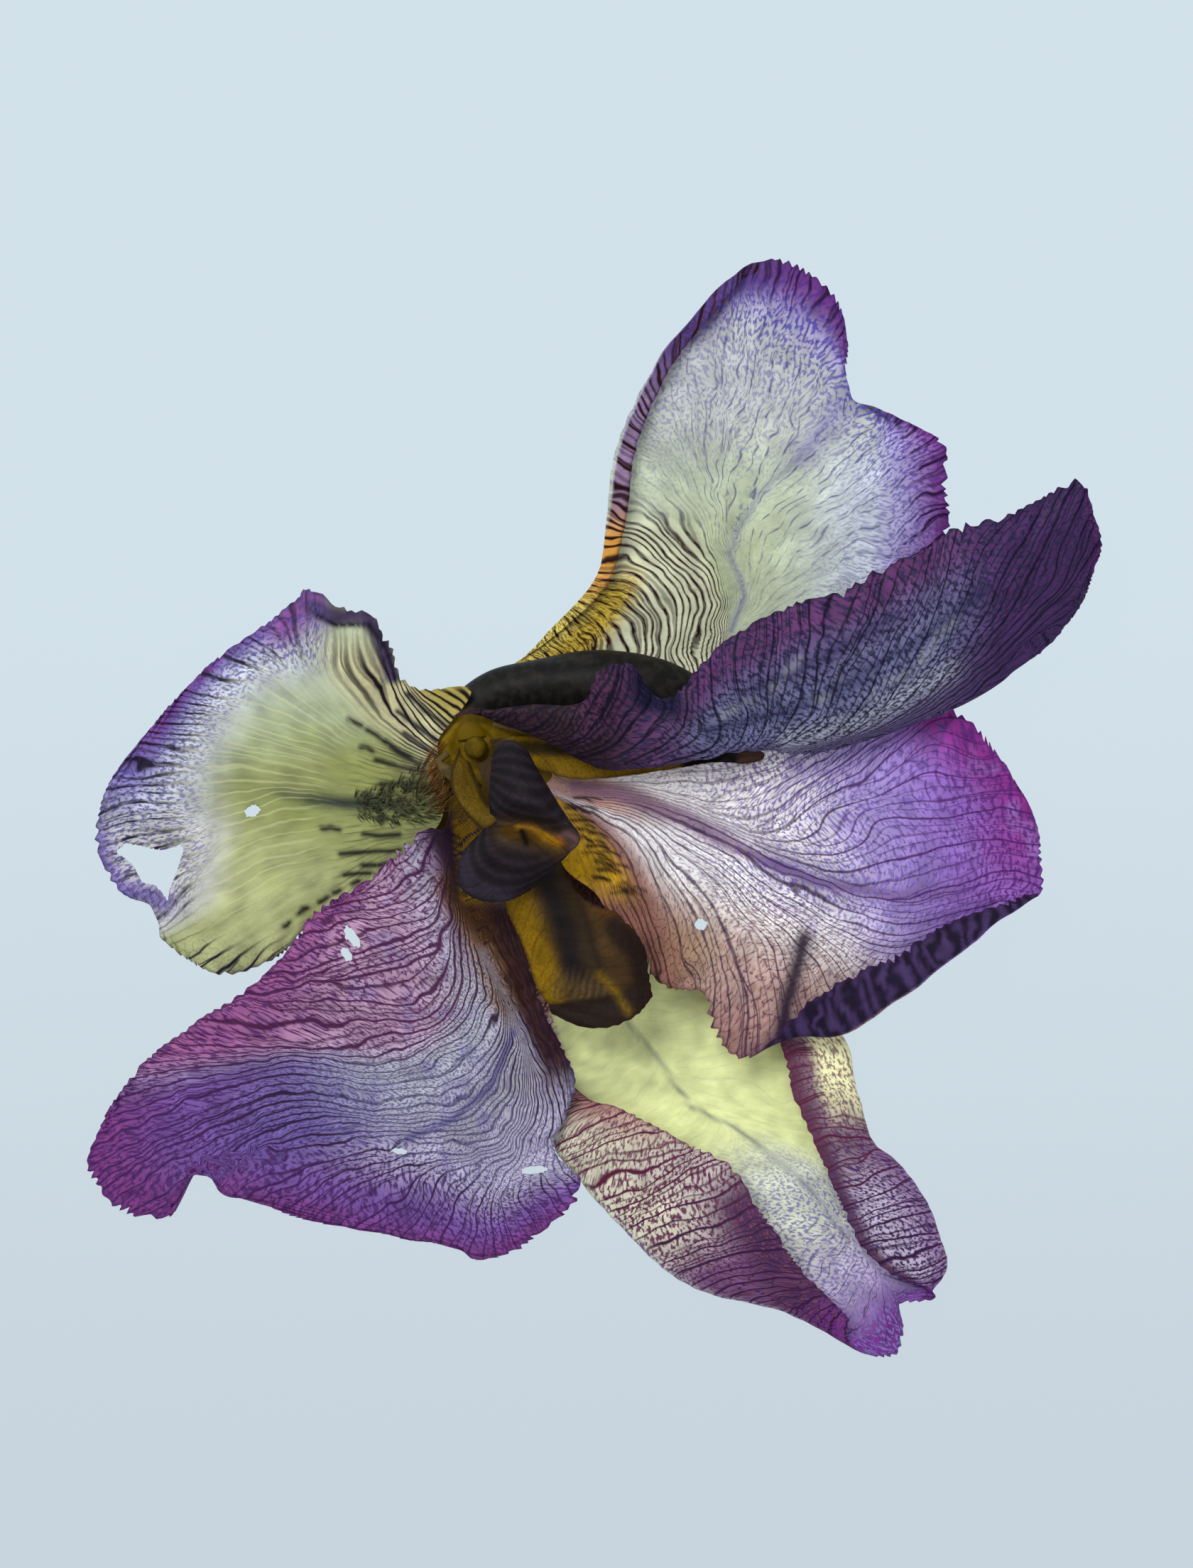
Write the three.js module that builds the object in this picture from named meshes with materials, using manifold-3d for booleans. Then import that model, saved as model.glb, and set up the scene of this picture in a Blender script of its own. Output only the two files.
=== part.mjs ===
// A wilted bearded iris bloom lying on a table: three falls, three standards, three style arms, three
// stamens, and the ovary with its tube and throat. Millimetres, +Z up, origin under the middle of the box.
import * as THREE from 'three';
import Module from 'manifold-3d';
import * as BufferGeometryUtils from 'three/addons/utils/BufferGeometryUtils.js';

const wasm = await Module();
wasm.setup();

// Driving dimensions
const bladeThickness = 0.7;
const clearance = 0.3;
const lowestMiddle = bladeThickness / 2 + 0.01; // a blade's mid surface where it lies on the table
const throat = { x: -16.5, y: 8.5, radius: 4.6, bottom: 1, top: 9.4 };
const styleColumn = { radius: 1.5, top: 13.2 };
const stemRadius = 3.1;
const petalSeat = throat.radius + clearance + bladeThickness / 2 + 0.1;
const styleSeat = styleColumn.radius + clearance + bladeThickness / 2 + 0.1;

// A rib of points on a circle round the throat, from one bearing to another, in degrees
function seatRib(radius, fromDegrees, toDegrees, height, count) {
  const points = [];
  for (let k = 0; k < count; k++) {
    const angle = THREE.MathUtils.degToRad(THREE.MathUtils.lerp(fromDegrees, toDegrees, k / (count - 1)));
    const [x, y] = [throat.x + radius * Math.cos(angle), throat.y + radius * Math.sin(angle)];
    points.push(new THREE.Vector3(x, y, height));
  }
  return points;
}

// A blade's ribs run across it, from one margin to the other, and follow each other from base to tip
function ribs(seat, ...rows) {
  const net = rows.map((row) => {
    const points = [];
    for (let k = 0; k < row.length; k += 3) points.push(new THREE.Vector3(row[k], row[k + 1], row[k + 2]));
    return points;
  });
  return seat ? [seatRib(...seat, net[0].length), ...net] : net;
}

// Catmull-Rom curve through the points, at t from 0 to their last index
function splinePoint(points, t) {
  const last = points.length - 1;
  const k = Math.min(Math.floor(t), last - 1);
  const s = t - k;
  const b = points[k];
  const c = points[k + 1];
  const a = k > 0 ? points[k - 1] : b.clone().multiplyScalar(2).sub(c);
  const d = k + 2 <= last ? points[k + 2] : c.clone().multiplyScalar(2).sub(b);
  const point = new THREE.Vector3();
  for (const axis of ['x', 'y', 'z']) {
    const slopeIn = (c[axis] - a[axis]) / 2;
    const slopeOut = (d[axis] - b[axis]) / 2;
    point[axis] = (2 * s ** 3 - 3 * s ** 2 + 1) * b[axis] + (s ** 3 - 2 * s ** 2 + s) * slopeIn
      + (3 * s ** 2 - 2 * s ** 3) * c[axis] + (s ** 3 - s ** 2) * slopeOut;
  }
  return point;
}

function bladePoint(net, along, across) {
  return splinePoint(net.map((rib) => splinePoint(rib, across)), along);
}

// A ragged margin's bite at a place along it, from 0 to 1
function bite(place) {
  return 0.5 + 0.3 * Math.sin(place * 5.3) + 0.2 * Math.sin(place * 11.9 + 1);
}

// A closed blade round a net of ribs, split alike on both faces. ragged is how deep its margins are bitten,
// as a share of its width, and ruffle how high they wave. A notch draws the tip margin in at a place across
// it, and a tear leaves out a patch of cells.
function bladeGeometry(net, shape = {}) {
  const { perRib = 2, perPoint = 2, ragged = 0, ruffle = 0, notches = [], tear = null } = shape;
  const rows = (net.length - 1) * perRib;
  const columns = (net[0].length - 1) * perPoint;
  const lastRib = net.length - 1;
  const lastPoint = net[0].length - 1;
  const marginFade = 5;
  const wavesPerRib = 2.1;
  const place = (i, j) => {
    const share = i / rows;
    const side = (2 * j) / columns - 1;
    const rim = Math.abs(side) ** marginFade * share;
    const tip = share ** (marginFade + 1);
    const across = (1 + side * (1 - ragged * rim * bite(share * lastRib + side))) * (lastPoint / 2);
    const along = share * lastRib - ragged * 2 * bite(across * 1.7) * tip;
    const shift = new THREE.Vector3(0, 0, ruffle * rim * Math.sin(share * lastRib * wavesPerRib + 2 * side));
    for (const notch of notches) {
      const pull = Math.max(0, 1 - Math.abs(across - notch.at) / notch.half);
      shift.x += notch.x * pull * tip;
      shift.y += notch.y * pull * tip;
    }
    return [along, across, shift];
  };
  const faces = [[], []];
  for (let i = 0; i <= rows; i++) {
    for (let j = 0; j <= columns; j++) {
      const [along, across, shift] = place(i, j);
      const step = 0.05;
      const point = bladePoint(net, along, across);
      const toTip = bladePoint(net, Math.min(along + step, lastRib), across)
        .sub(bladePoint(net, Math.max(along - step, 0), across));
      const toSide = bladePoint(net, along, Math.min(across + step, lastPoint))
        .sub(bladePoint(net, along, Math.max(across - step, 0)));
      point.add(shift);
      point.z = Math.max(point.z, lowestMiddle);
      const normal = toTip.cross(toSide).normalize().multiplyScalar(bladeThickness / 2);
      faces[0].push(point.clone().add(normal));
      faces[1].push(point.clone().sub(normal));
    }
  }
  const width = columns + 1;
  const count = (rows + 1) * width;
  const kept = (i, j) => {
    if (i < 0 || j < 0 || i >= rows || j >= columns) return false;
    if (!tear) return true;
    const along = (i + 0.5) / perRib;
    const across = (j + 0.5) / perPoint;
    return !(along > tear.from && along < tear.to && across > tear.left && across < tear.right);
  };
  const triangles = [];
  const wall = (a, b) => triangles.push(a, a + count, b + count, a, b + count, b);
  for (let i = 0; i < rows; i++) {
    for (let j = 0; j < columns; j++) {
      if (!kept(i, j)) continue;
      const a = i * width + j;
      const [b, c, d] = [a + width, a + width + 1, a + 1];
      triangles.push(a, b, c, a, c, d);
      triangles.push(a + count, c + count, b + count, a + count, d + count, c + count);
      if (!kept(i, j - 1)) wall(a, b);
      if (!kept(i + 1, j)) wall(b, c);
      if (!kept(i, j + 1)) wall(c, d);
      if (!kept(i - 1, j)) wall(d, a);
    }
  }
  const positions = [...faces[0], ...faces[1]].flatMap((point) => point.toArray());
  return closedGeometry(positions, triangles);
}

// Drops unused vertices and turns the faces outwards
function closedGeometry(positions, triangles) {
  let geometry = new THREE.BufferGeometry();
  geometry.setAttribute('position', new THREE.Float32BufferAttribute(positions, 3));
  geometry.setIndex(triangles);
  geometry = BufferGeometryUtils.mergeVertices(geometry.toNonIndexed(), 1e-4);
  const position = geometry.attributes.position;
  const index = geometry.index.array;
  let volume = 0;
  const corner = [new THREE.Vector3(), new THREE.Vector3(), new THREE.Vector3()];
  for (let k = 0; k < index.length; k += 3) {
    corner.forEach((point, n) => point.fromBufferAttribute(position, index[k + n]));
    volume += corner[0].dot(corner[1].cross(corner[2]));
  }
  if (volume < 0) {
    for (let k = 0; k < index.length; k += 3) [index[k], index[k + 1]] = [index[k + 1], index[k]];
  }
  return geometry;
}

// A round rod along a smooth path whose stations hold x, y, z and radius, with flat ends
function rodGeometry(stations, { sides = 8, steps = 16, lobes = 0 } = {}) {
  const path = new THREE.CatmullRomCurve3(stations.map((s) => new THREE.Vector3(s[0], s[1], s[2])));
  const radii = stations.map((s) => new THREE.Vector3(s[3], 0, 0));
  const frames = path.computeFrenetFrames(steps, false);
  const positions = [];
  for (let i = 0; i <= steps; i++) {
    const centre = path.getPointAt(i / steps);
    const share = path.getUtoTmapping(i / steps, 0);
    const radius = splinePoint(radii, share * (stations.length - 1)).x;
    for (let k = 0; k < sides; k++) {
      const angle = (2 * Math.PI * k) / sides;
      const reach = radius * (1 + lobes * Math.cos(3 * angle));
      const point = centre.clone()
        .addScaledVector(frames.normals[i], reach * Math.cos(angle))
        .addScaledVector(frames.binormals[i], reach * Math.sin(angle));
      positions.push(...point.toArray());
    }
  }
  const triangles = [];
  for (let i = 0; i < steps; i++) {
    for (let k = 0; k < sides; k++) {
      const a = i * sides + k;
      const b = i * sides + ((k + 1) % sides);
      triangles.push(a, b, b + sides, a, b + sides, a + sides);
    }
  }
  for (let k = 1; k < sides - 1; k++) {
    triangles.push(0, k + 1, k);
    const end = steps * sides;
    triangles.push(end, end + k, end + k + 1);
  }
  return closedGeometry(positions, triangles);
}

function solidOf(geometry) {
  const plain = new THREE.BufferGeometry();
  plain.setAttribute('position', geometry.getAttribute('position'));
  if (geometry.index) plain.setIndex(geometry.index);
  const merged = BufferGeometryUtils.mergeVertices(plain, 1e-4);
  return new wasm.Manifold(new wasm.Mesh({
    numProp: 3,
    vertProperties: new Float32Array(merged.attributes.position.array),
    triVerts: new Uint32Array(merged.index.array),
  }));
}

function fuse(...geometries) {
  const mesh = geometries.map(solidOf).reduce((whole, piece) => whole.add(piece)).getMesh();
  const geometry = new THREE.BufferGeometry();
  geometry.setAttribute('position', new THREE.BufferAttribute(mesh.vertProperties, 3));
  geometry.setIndex(new THREE.BufferAttribute(mesh.triVerts, 1));
  return geometry;
}

// Beard hairs: three-sided needles on a blade between two ribs, in rows either side of its middle, that lean
// towards the throat. Their roots are sunk into the blade, and the draw of their places is seeded.
function beardNeedles(net, { from, to, middle, half, rows, perRow, length, radius }) {
  let seed = 7;
  const draw = () => {
    seed = (seed * 16807) % 2147483647;
    return seed / 2147483647;
  };
  const needles = [];
  for (let i = 0; i < rows; i++) {
    for (let j = 0; j < perRow; j++) {
      const along = THREE.MathUtils.lerp(from, to, (i + 0.6 * draw()) / rows);
      const side = (2 * (j + 0.2 + 0.6 * draw())) / perRow - 1;
      const root = bladePoint(net, along, middle + half * side);
      const back = bladePoint(net, along - 0.1, middle + half * side).sub(root).normalize();
      const out = bladePoint(net, along, middle + half * side + 0.1).sub(root).normalize();
      const lean = new THREE.Vector3(0, 0, 1).addScaledVector(back, 0.7).addScaledVector(out, 0.5 * side);
      lean.normalize();
      const reach = length * (0.75 + 0.5 * draw());
      const needle = new THREE.ConeGeometry(radius, reach, 3);
      needle.deleteAttribute('normal');
      needle.deleteAttribute('uv');
      needle.translate(0, reach / 2 - 0.2, 0);
      needle.applyQuaternion(new THREE.Quaternion().setFromUnitVectors(new THREE.Vector3(0, 1, 0), lean));
      needle.translate(root.x, root.y, root.z);
      needles.push(needle);
    }
  }
  return needles;
}

const finishes = {
  fall: { color: 0xcfd2a0, roughness: 0.6 },
  standard: { color: 0x7d4f96, roughness: 0.6 },
  styleArm: { color: 0x5a4326, roughness: 0.55 },
  stamen: { color: 0xd8cf9a, roughness: 0.7 },
  ovary: { color: 0x4a4a3c, roughness: 0.5 },
};

const iris = new THREE.Group();
function addPiece(name, geometry, finish) {
  const mesh = new THREE.Mesh(geometry, new THREE.MeshStandardMaterial({ ...finish, metalness: 0 }));
  mesh.name = name;
  iris.add(mesh);
}

// Left fall, face up, ribs from its lower margin to its upper one; the outer rim is torn free in a strip
const fallLeft = ribs([petalSeat, 216, 164, 8.4],
  [-21.5, -2, 8.6, -23, 0, 8.2, -24.2, 2.4, 8, -24.8, 5, 7.8,
    -24.6, 8, 8, -22.6, 12.4, 8.4, -17.2, 16.6, 10.2],
  [-27, -6.5, 8, -27.8, -3.4, 7.6, -28.6, 0, 7, -29, 3.2, 6.6,
    -28.8, 7, 6.8, -27.6, 11.5, 7.6, -25.4, 17.2, 9],
  [-34, -12.2, 6, -35, -7.6, 6.4, -35.4, -2.8, 6, -35.8, 2, 5.4,
    -35.4, 8, 5.8, -33.5, 15, 6.6, -28.6, 23, 8.4],
  [-41, -16, 5, -42.6, -10.5, 5.4, -43.2, -4, 5.2, -43.6, 2.4, 4.6,
    -43, 10, 4.6, -41, 19, 5, -38.6, 29.5, 6.4],
  [-47, -21.6, 3.6, -50, -14, 4.6, -51, -6, 4.8, -51.4, 2, 4.2,
    -50.6, 9.5, 4, -49, 17.5, 4, -46.5, 25.5, 3.6],
  [-52.5, -23.2, 2.4, -55.4, -16, 3.4, -56.6, -8, 4.2, -57.6, .4, 4.2,
    -57.2, 8, 3.4, -56, 14.2, 3, -53, 21, 2.4],
  [-57.5, -21, 1.4, -60.6, -16.4, 2.2, -61.6, -9.4, 2.8, -63, -1.8, 3,
    -62.8, 5, 2.2, -61.4, 9.8, 1.6, -59.4, 14.6, 1.2],
  [-61.4, -18, .6, -61, -14.4, .8, -66.8, -11.6, .6, -70.2, -5, .5,
    -69.6, 0, .5, -67.6, 4.4, .6, -64.2, 9, .8]);

// Top fall, under the ovary at its base, its left rim rolled over, ribs from left margin to right
const fallTop = ribs([petalSeat, 80, 24, 1.5],
  [-13.8, 18.4, .42, -12, 17.6, .37, -10, 16.6, .36, -8, 15.4, .36,
    -6.6, 14.2, .36, -5, 12.6, .4, -3.6, 10.6, .5],
  [-6, 23.8, 1.4, -6.4, 24.2, .9, -1, 21.8, .4, 2.4, 19.6, .36, 5, 17.4, .36, 7.5, 15, .36, 10, 12.4, .4],
  [1.8, 31.4, 4.2, .6, 32.2, 2.9, 7.5, 29.6, 1.8, 14.5, 24, .6,
    18.4, 20.6, .5, 21.4, 17.6, .5, 24.4, 14.2, .7],
  [4.4, 40.4, 6.2, 2, 40.8, 4.4, 7.5, 38.6, 3, 19.4, 32, .8, 25, 27, 1.8, 30, 22.6, 1.6, 34.5, 18.6, .8],
  [5.6, 49.2, 6.4, 3, 48.6, 4.4, 9.5, 46.4, 3.2, 20.4, 40, 1, 29, 35.6, 2.4, 37, 30.4, 2.2, 44, 25.4, .8],
  [8.4, 57, 6.2, 5.8, 56.2, 4.4, 12.5, 53.4, 3.4, 22, 47.6, 1.6, 32, 43, 2.8, 41.5, 38.6, 2.4, 49.4, 35, 1],
  [12.2, 64, 5.8, 9.8, 63.4, 4.2, 15.6, 60.2, 3.5, 23.4, 55, 2.2,
    32.4, 50.6, 2.8, 41.6, 47, 2.5, 49.6, 44.6, 1.4],
  [16.8, 69.4, 5.2, 14.6, 69.4, 3.8, 19, 66, 3.3, 25, 62, 2.4,
    31.6, 58, 2.6, 38.4, 55, 2.2, 47.4, 52.2, 1.6],
  [20.6, 74.2, 4, 18.6, 73.8, 3, 22, 71.4, 2.8, 26.4, 68.8, 2.4,
    30.6, 66.2, 2.4, 34, 62.6, 2, 36.6, 58.2, 1.6],
  [21.2, 76, 2.6, 22.6, 76.7, 2.4, 25.4, 77.2, 2.2, 28, 76.6, 2.2,
    31, 74.8, 2, 34.4, 71.4, 1.8, 35.8, 65.6, 1.6]);

// Lower right fall, both sides folded over its face, ribs from the right free edge to the left one
const fallLower = ribs([petalSeat, 318, 284, 4],
  [-7.6, -2, 4.4, -8, -2.8, 3.8, -8.6, -3.6, 3.4, -9.4, -4.2, 3.1, -10.4, -4.8, 3,
    -11.4, -5.2, 3.1, -12.2, -5.4, 3.4, -12.9, -5.6, 3.8, -13.4, -5.8, 4.2],
  [6, -12.4, 2.4, 3.6, -13.4, 1.9, 1.2, -14.4, 1.5, -1, -15.4, 1.2, -3.4, -16.4, 1,
    -5.6, -17.4, 1.2, -7.6, -18.4, 1.5, -9, -19.2, 2, -10.2, -20, 2.6],
  [17, -22.4, 2.6, 15.4, -22.8, 1.8, 12.6, -23.4, 1.2, 8.4, -24.6, .7, 2.6, -26.4, .5,
    -2, -28.4, .7, -5.4, -30.4, 1.2, -7, -31.6, 1.8, -8, -32.6, 2.4],
  [25.2, -30.4, 3.6, 29.4, -29.4, 3, 32.6, -29.8, 1.6, 24, -32, .5, 10, -36.4, .36,
    2.4, -38, .7, -2.4, -39.6, 1.8, -2.2, -40, 2.8, -.8, -40.4, 3.6],
  [28.2, -40.6, 4.4, 33, -39.4, 4.2, 36.8, -40, 2, 28, -42.4, .5, 15, -41.6, .36,
    4, -45.6, .6, -4.4, -47.6, 2, -1.4, -45.4, 4.4, 3.4, -42, 5],
  [31, -47.4, 5, 35, -46.4, 4.6, 39, -46.8, 2, 31, -47.6, .5, 21, -45.8, .36,
    9, -51, .6, -1.4, -52.8, 2, 5, -50, 5, 12.4, -46.4, 5.8],
  [33.4, -52.6, 5, 38, -51.6, 4.6, 42.8, -50, 2, 35, -52, .5, 26, -49.4, .36,
    14, -56.4, .6, 3.4, -58.2, 2, 11, -54.4, 5.2, 19, -50, 6],
  [35.6, -57.6, 4.8, 41, -56.6, 4.4, 46.8, -55.6, 2, 39, -56.8, .5, 30.6, -54, .36,
    20, -61, .6, 9.4, -64.2, 2, 17, -60.4, 5.2, 24.4, -57.6, 6],
  [38, -62, 4.4, 43, -61.4, 4, 48.6, -60.4, 1.8, 42, -61.4, .5, 35, -59, .36,
    26, -65, .6, 16, -68, 2, 22.4, -65, 5, 28.2, -63.6, 5.6],
  [42.5, -66, 3.4, 46, -65.6, 2.8, 49.4, -65, 1.6, 44.6, -65.6, .6, 39.4, -64.6, .5,
    33, -69, .8, 27, -70.8, 2, 29.6, -69, 4.2, 32.4, -68.2, 4.6],
  [47, -67.4, 2.2, 48, -68.8, 1.8, 45.6, -69.4, 1.4, 42.8, -70, 1, 43.6, -73.4, .9,
    42.2, -77, 1.2, 38, -76.6, 1.8, 35.6, -74.4, 2.8, 36, -72, 3.4]);

// Standard flopped over the ovary and folded along its keel: upper half's margin, keel, lower half's margin
const standardOver = ribs([petalSeat, 125, 78, 9.9],
  [-9.3, 14.4, 13.6, -9.1, 13.3, 13.9, -8.9, 11.8, 13.4, -8.5, 10.3, 12.2,
    -8.7, 11.1, 11, -8.9, 12.3, 10.6, -9.1, 13.5, 10.6],
  [-1.8, 14.8, 15.4, -1.2, 12.4, 15.6, -0.2, 8.9, 14.2, 1.6, 5.6, 11.8,
    1.4, 7.5, 10.2, 0.6, 9.9, 10.4, -0.4, 12.1, 11.6],
  [2.6, 20.1, 18.2, 4.1, 15.4, 17.2, 5.7, 10.5, 14.8, 8.1, 5.9, 11.6,
    7.7, 8.3, 9.9, 7.1, 11.1, 10.5, 6.1, 13.7, 12.2],
  [10.3, 16, 15.2, 11.2, 13.4, 15.9, 12.5, 10.3, 14, 14.3, 6.9, 11.2,
    14.1, 9.1, 9.5, 13.5, 11.9, 10.3, 12.7, 14.7, 12.4],
  [17.2, 22.7, 16.2, 18.3, 18.3, 16.6, 20, 13.4, 14.4, 21.8, 8.3, 11,
    21.7, 10.7, 9.4, 20.9, 14.3, 9.8, 20, 17.5, 10.8],
  [27.2, 28.2, 15.8, 28.6, 22.3, 16.4, 29.9, 15.4, 14, 31.4, 8.1, 10.2,
    31.4, 11.1, 8.5, 30.6, 15.9, 8.8, 29.8, 20.3, 9.4],
  [38.1, 32.4, 15, 39.3, 26.1, 15.8, 40.6, 18.8, 13.4, 41.9, 11.1, 9.8,
    42, 14.3, 8.1, 41.4, 19.3, 8.4, 40.8, 23.9, 8.8],
  [49, 38.4, 14.4, 50, 31.2, 15, 51.1, 23.2, 12.8, 52.1, 14.9, 9.4,
    52.2, 18.1, 7.7, 51.6, 23.9, 8, 50.9, 29.3, 8.4],
  [59.4, 41.6, 13.2, 59.9, 35.2, 13.8, 60.5, 27.8, 11.8, 60.9, 20.7, 8.8,
    61, 23.7, 7.1, 60.6, 29.5, 7.4, 60.1, 34.5, 7.8],
  [66.6, 45.8, 12.2, 67.4, 40.2, 12.6, 67.3, 33.3, 10.8, 66.7, 26.5, 8.2,
    66.8, 29.3, 6.6, 67, 34.3, 7, 66.9, 38.5, 7.4],
  [68.8, 43.5, 11.8, 70.8, 38.1, 11.8, 70.7, 35.1, 10.4, 69.7, 32.4, 8.2,
    69.8, 33.7, 7, 69.8, 36.3, 7.4, 69.8, 38.4, 7.8]);

// Right standard, ribs from its upper margin to its lower one, whose outer stretch is rolled over
const standardRight = ribs([petalSeat, 14, -36, 6.4],
  [-5.5, 9.2, 6.4, -5, 7.4, 5.9, -4.8, 5.2, 5.6, -4.8, 3, 5.6, -4.6, 0, 6, -4.2, -3.6, 6.8, -3.4, -8, 8.2],
  [4, 9.4, 5.8, 4, 7, 5.3, 4, 4, 5, 3.6, 1, 5, 3.4, -3.6, 5.5, 3.6, -8.8, 6.6, 4, -14.6, 8.2],
  [13, 8.6, 5.4, 12.6, 5.8, 5, 12, 2.4, 4.8, 10.8, -1.6, 4.8, 9.4, -7.4, 5.3, 8, -14, 6.4, 7.2, -21, 7.8],
  [23, 8.8, 5, 22.6, 5.4, 4.8, 21.4, .6, 4.8, 19.4, -5.4, 5,
    16.4, -12.4, 5.6, 13, -19, 6.6, 9.4, -24.6, 7.4],
  [33, 14.4, 5, 31.6, 8, 5, 30, 0, 5.2, 28.4, -8.6, 5.4, 24.4, -17, 6.2, 19.6, -23, 6.8, 15.6, -26, 7],
  [42, 17, 5, 40.6, 8.4, 5.2, 39, -2, 5.5, 36.6, -11, 5.7,
    30, -20, 6.6, 23.4, -26.4, 6.8, 16.8, -30.6, 6.6],
  [47.6, 16.4, 4.8, 46.4, 7.4, 5.2, 44.6, -3, 5.6, 41.6, -12.2, 5.8,
    35, -22, 6.4, 28.4, -29.6, 6.6, 22, -35, 6.4],
  [51.6, 12.8, 4.4, 51, 4.8, 5.2, 49.4, -5, 5.6, 47, -13, 5.8,
    40.6, -22, 5.6, 34.4, -31.8, 7, 31.6, -26, 9.8],
  [54.6, 10, 4.2, 55.4, 2, 5, 54.6, -6.4, 5.4, 52, -13, 5.6,
    47.6, -19.4, 5.6, 45, -25, 7.2, 42.4, -20.4, 10],
  [57.6, 6.4, 4, 59.6, .6, 4.8, 59.4, -6.6, 5.2, 57.4, -12, 5.4,
    54.6, -15, 5.6, 54, -18, 7.4, 51, -15.6, 9.6],
  [60.2, 2, 4.2, 62.4, -2.6, 4.8, 63, -7, 5.2, 62.4, -9.8, 5.4,
    61.6, -11.4, 5.8, 61.2, -12.4, 7, 59.6, -12.2, 8.2]);

// Lower left standard, ribs from its upper margin to its lower one
const standardLeft = ribs([petalSeat, 229, 268, 7.4],
  [-20.6, -2.4, 10.6, -19.6, -3, 9.8, -18.6, -3.4, 9.2, -17.4, -3.8, 8.8,
    -16.2, -4.2, 8.8, -15, -4.6, 9, -13.9, -5, 9.5],
  [-23.6, -3, 11, -21.8, -6, 10, -19.8, -8.6, 9, -17.4, -10.4, 8.2,
    -15.2, -11.6, 8, -13.4, -12.6, 8.4, -11.8, -13.4, 9.4],
  [-28.6, -6.8, 10.4, -26, -11.4, 9.4, -22.2, -15.6, 8, -18, -18.4, 7,
    -14.6, -19.6, 6.8, -12, -20, 7.6, -9.8, -20.2, 9],
  [-34.6, -12, 9.4, -31.6, -17.6, 8.6, -26.8, -22.8, 7.2, -20.4, -26.4, 6,
    -14.4, -28, 5.8, -10.4, -28.6, 6.6, -6.4, -28.8, 8],
  [-40.6, -18, 8.4, -37.6, -24, 7.8, -32, -29.8, 6.2, -24, -34.2, 4.8,
    -15.6, -37, 4.6, -9, -38.4, 5.2, -2.6, -39, 6.4],
  [-48, -25, 7, -45, -30.4, 6.8, -39, -36, 5.2, -30.6, -40.6, 4,
    -20, -45, 3.4, -12, -47.4, 3.8, -5.4, -47.6, 5],
  [-56, -30.2, 5.2, -53, -35.6, 5.2, -47, -41, 4.2, -38, -46, 3.2,
    -27, -51.4, 2.4, -16.5, -54.6, 2.4, -1.4, -53.6, 5.6],
  [-63, -35.8, 3.6, -60, -41, 3.8, -54.4, -45.6, 3.2, -46, -50.6, 2.4,
    -36, -55.4, 1.4, -25, -59, 1, -11, -62, 1.6],
  [-68.4, -42.4, 2.4, -70, -49, 2, -66.4, -55.8, 1.2, -60, -57, .7,
    -52, -54.6, .5, -40, -58, .4, -24, -61, .4]);

// Style arm over the lower right fall, ribs from its right margin to its left one
const styleLower = ribs([styleSeat, 345, 275, 12],
  [-8, 1, 13.4, -9.2, -.4, 14, -10.6, -1.6, 14.2, -12, -2.4, 14, -13.4, -3, 13.4],
  [-4.6, -8, 12.8, -6.6, -9, 13.8, -8.6, -10, 14.2, -10.8, -11, 13.8, -12.8, -12, 12.6],
  [-.8, -13.6, 12.2, -2.8, -15.4, 13.4, -5, -17, 13.8, -7.6, -18.2, 13.2, -10, -19, 11.8],
  [4.6, -16.4, 11.8, 2, -20, 13.2, -1.4, -22.4, 13.6, -5, -24, 12.8, -8, -25, 11.2],
  [7.4, -22.6, 11.4, 5, -25, 12.8, 1, -27, 13.2, -3, -27.6, 12.4, -6.6, -27.2, 10.8],
  [8.2, -26.4, 12.4, 6, -29, 13.8, 2.4, -30.6, 13.8, -2, -30.4, 12.8, -6, -28.6, 11.8]);

// Style arm under the flopped standard, ribs from its upper margin to its lower one
const styleRight = ribs([styleSeat, 30, -12, 10.6],
  [-11.4, 10, 10, -11, 9.2, 10, -10.8, 8.4, 10, -10.8, 7.4, 10, -11, 6.4, 10.1],
  [-8, 10, 8.4, -7.8, 9.2, 8.2, -7.6, 8.2, 8.2, -7.6, 6.8, 8.2, -7.8, 5.4, 8.4],
  [-2, 10.2, 7.9, -1.8, 9, 7.8, -1.8, 7.6, 7.8, -2, 5.8, 7.9, -2.4, 4, 8.2],
  [6, 10.2, 7.6, 6, 9, 7.6, 6, 7.6, 7.6, 5.6, 6, 7.7, 5, 4.6, 8],
  [12, 9.4, 7.4, 12.4, 8.6, 7.4, 12.8, 7.6, 7.4, 12.8, 6.6, 7.5, 12, 5.6, 7.8],
  [16.6, 9, 7.3, 17.4, 8.4, 7.3, 18, 7.8, 7.3, 18, 7, 7.4, 17, 6.4, 7.6],
  [21.4, 8.6, 7.2, 22.8, 8.2, 7.2, 24, 7.6, 7.2, 23.6, 6.8, 7.3, 21.6, 6.2, 7.4]);

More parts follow.
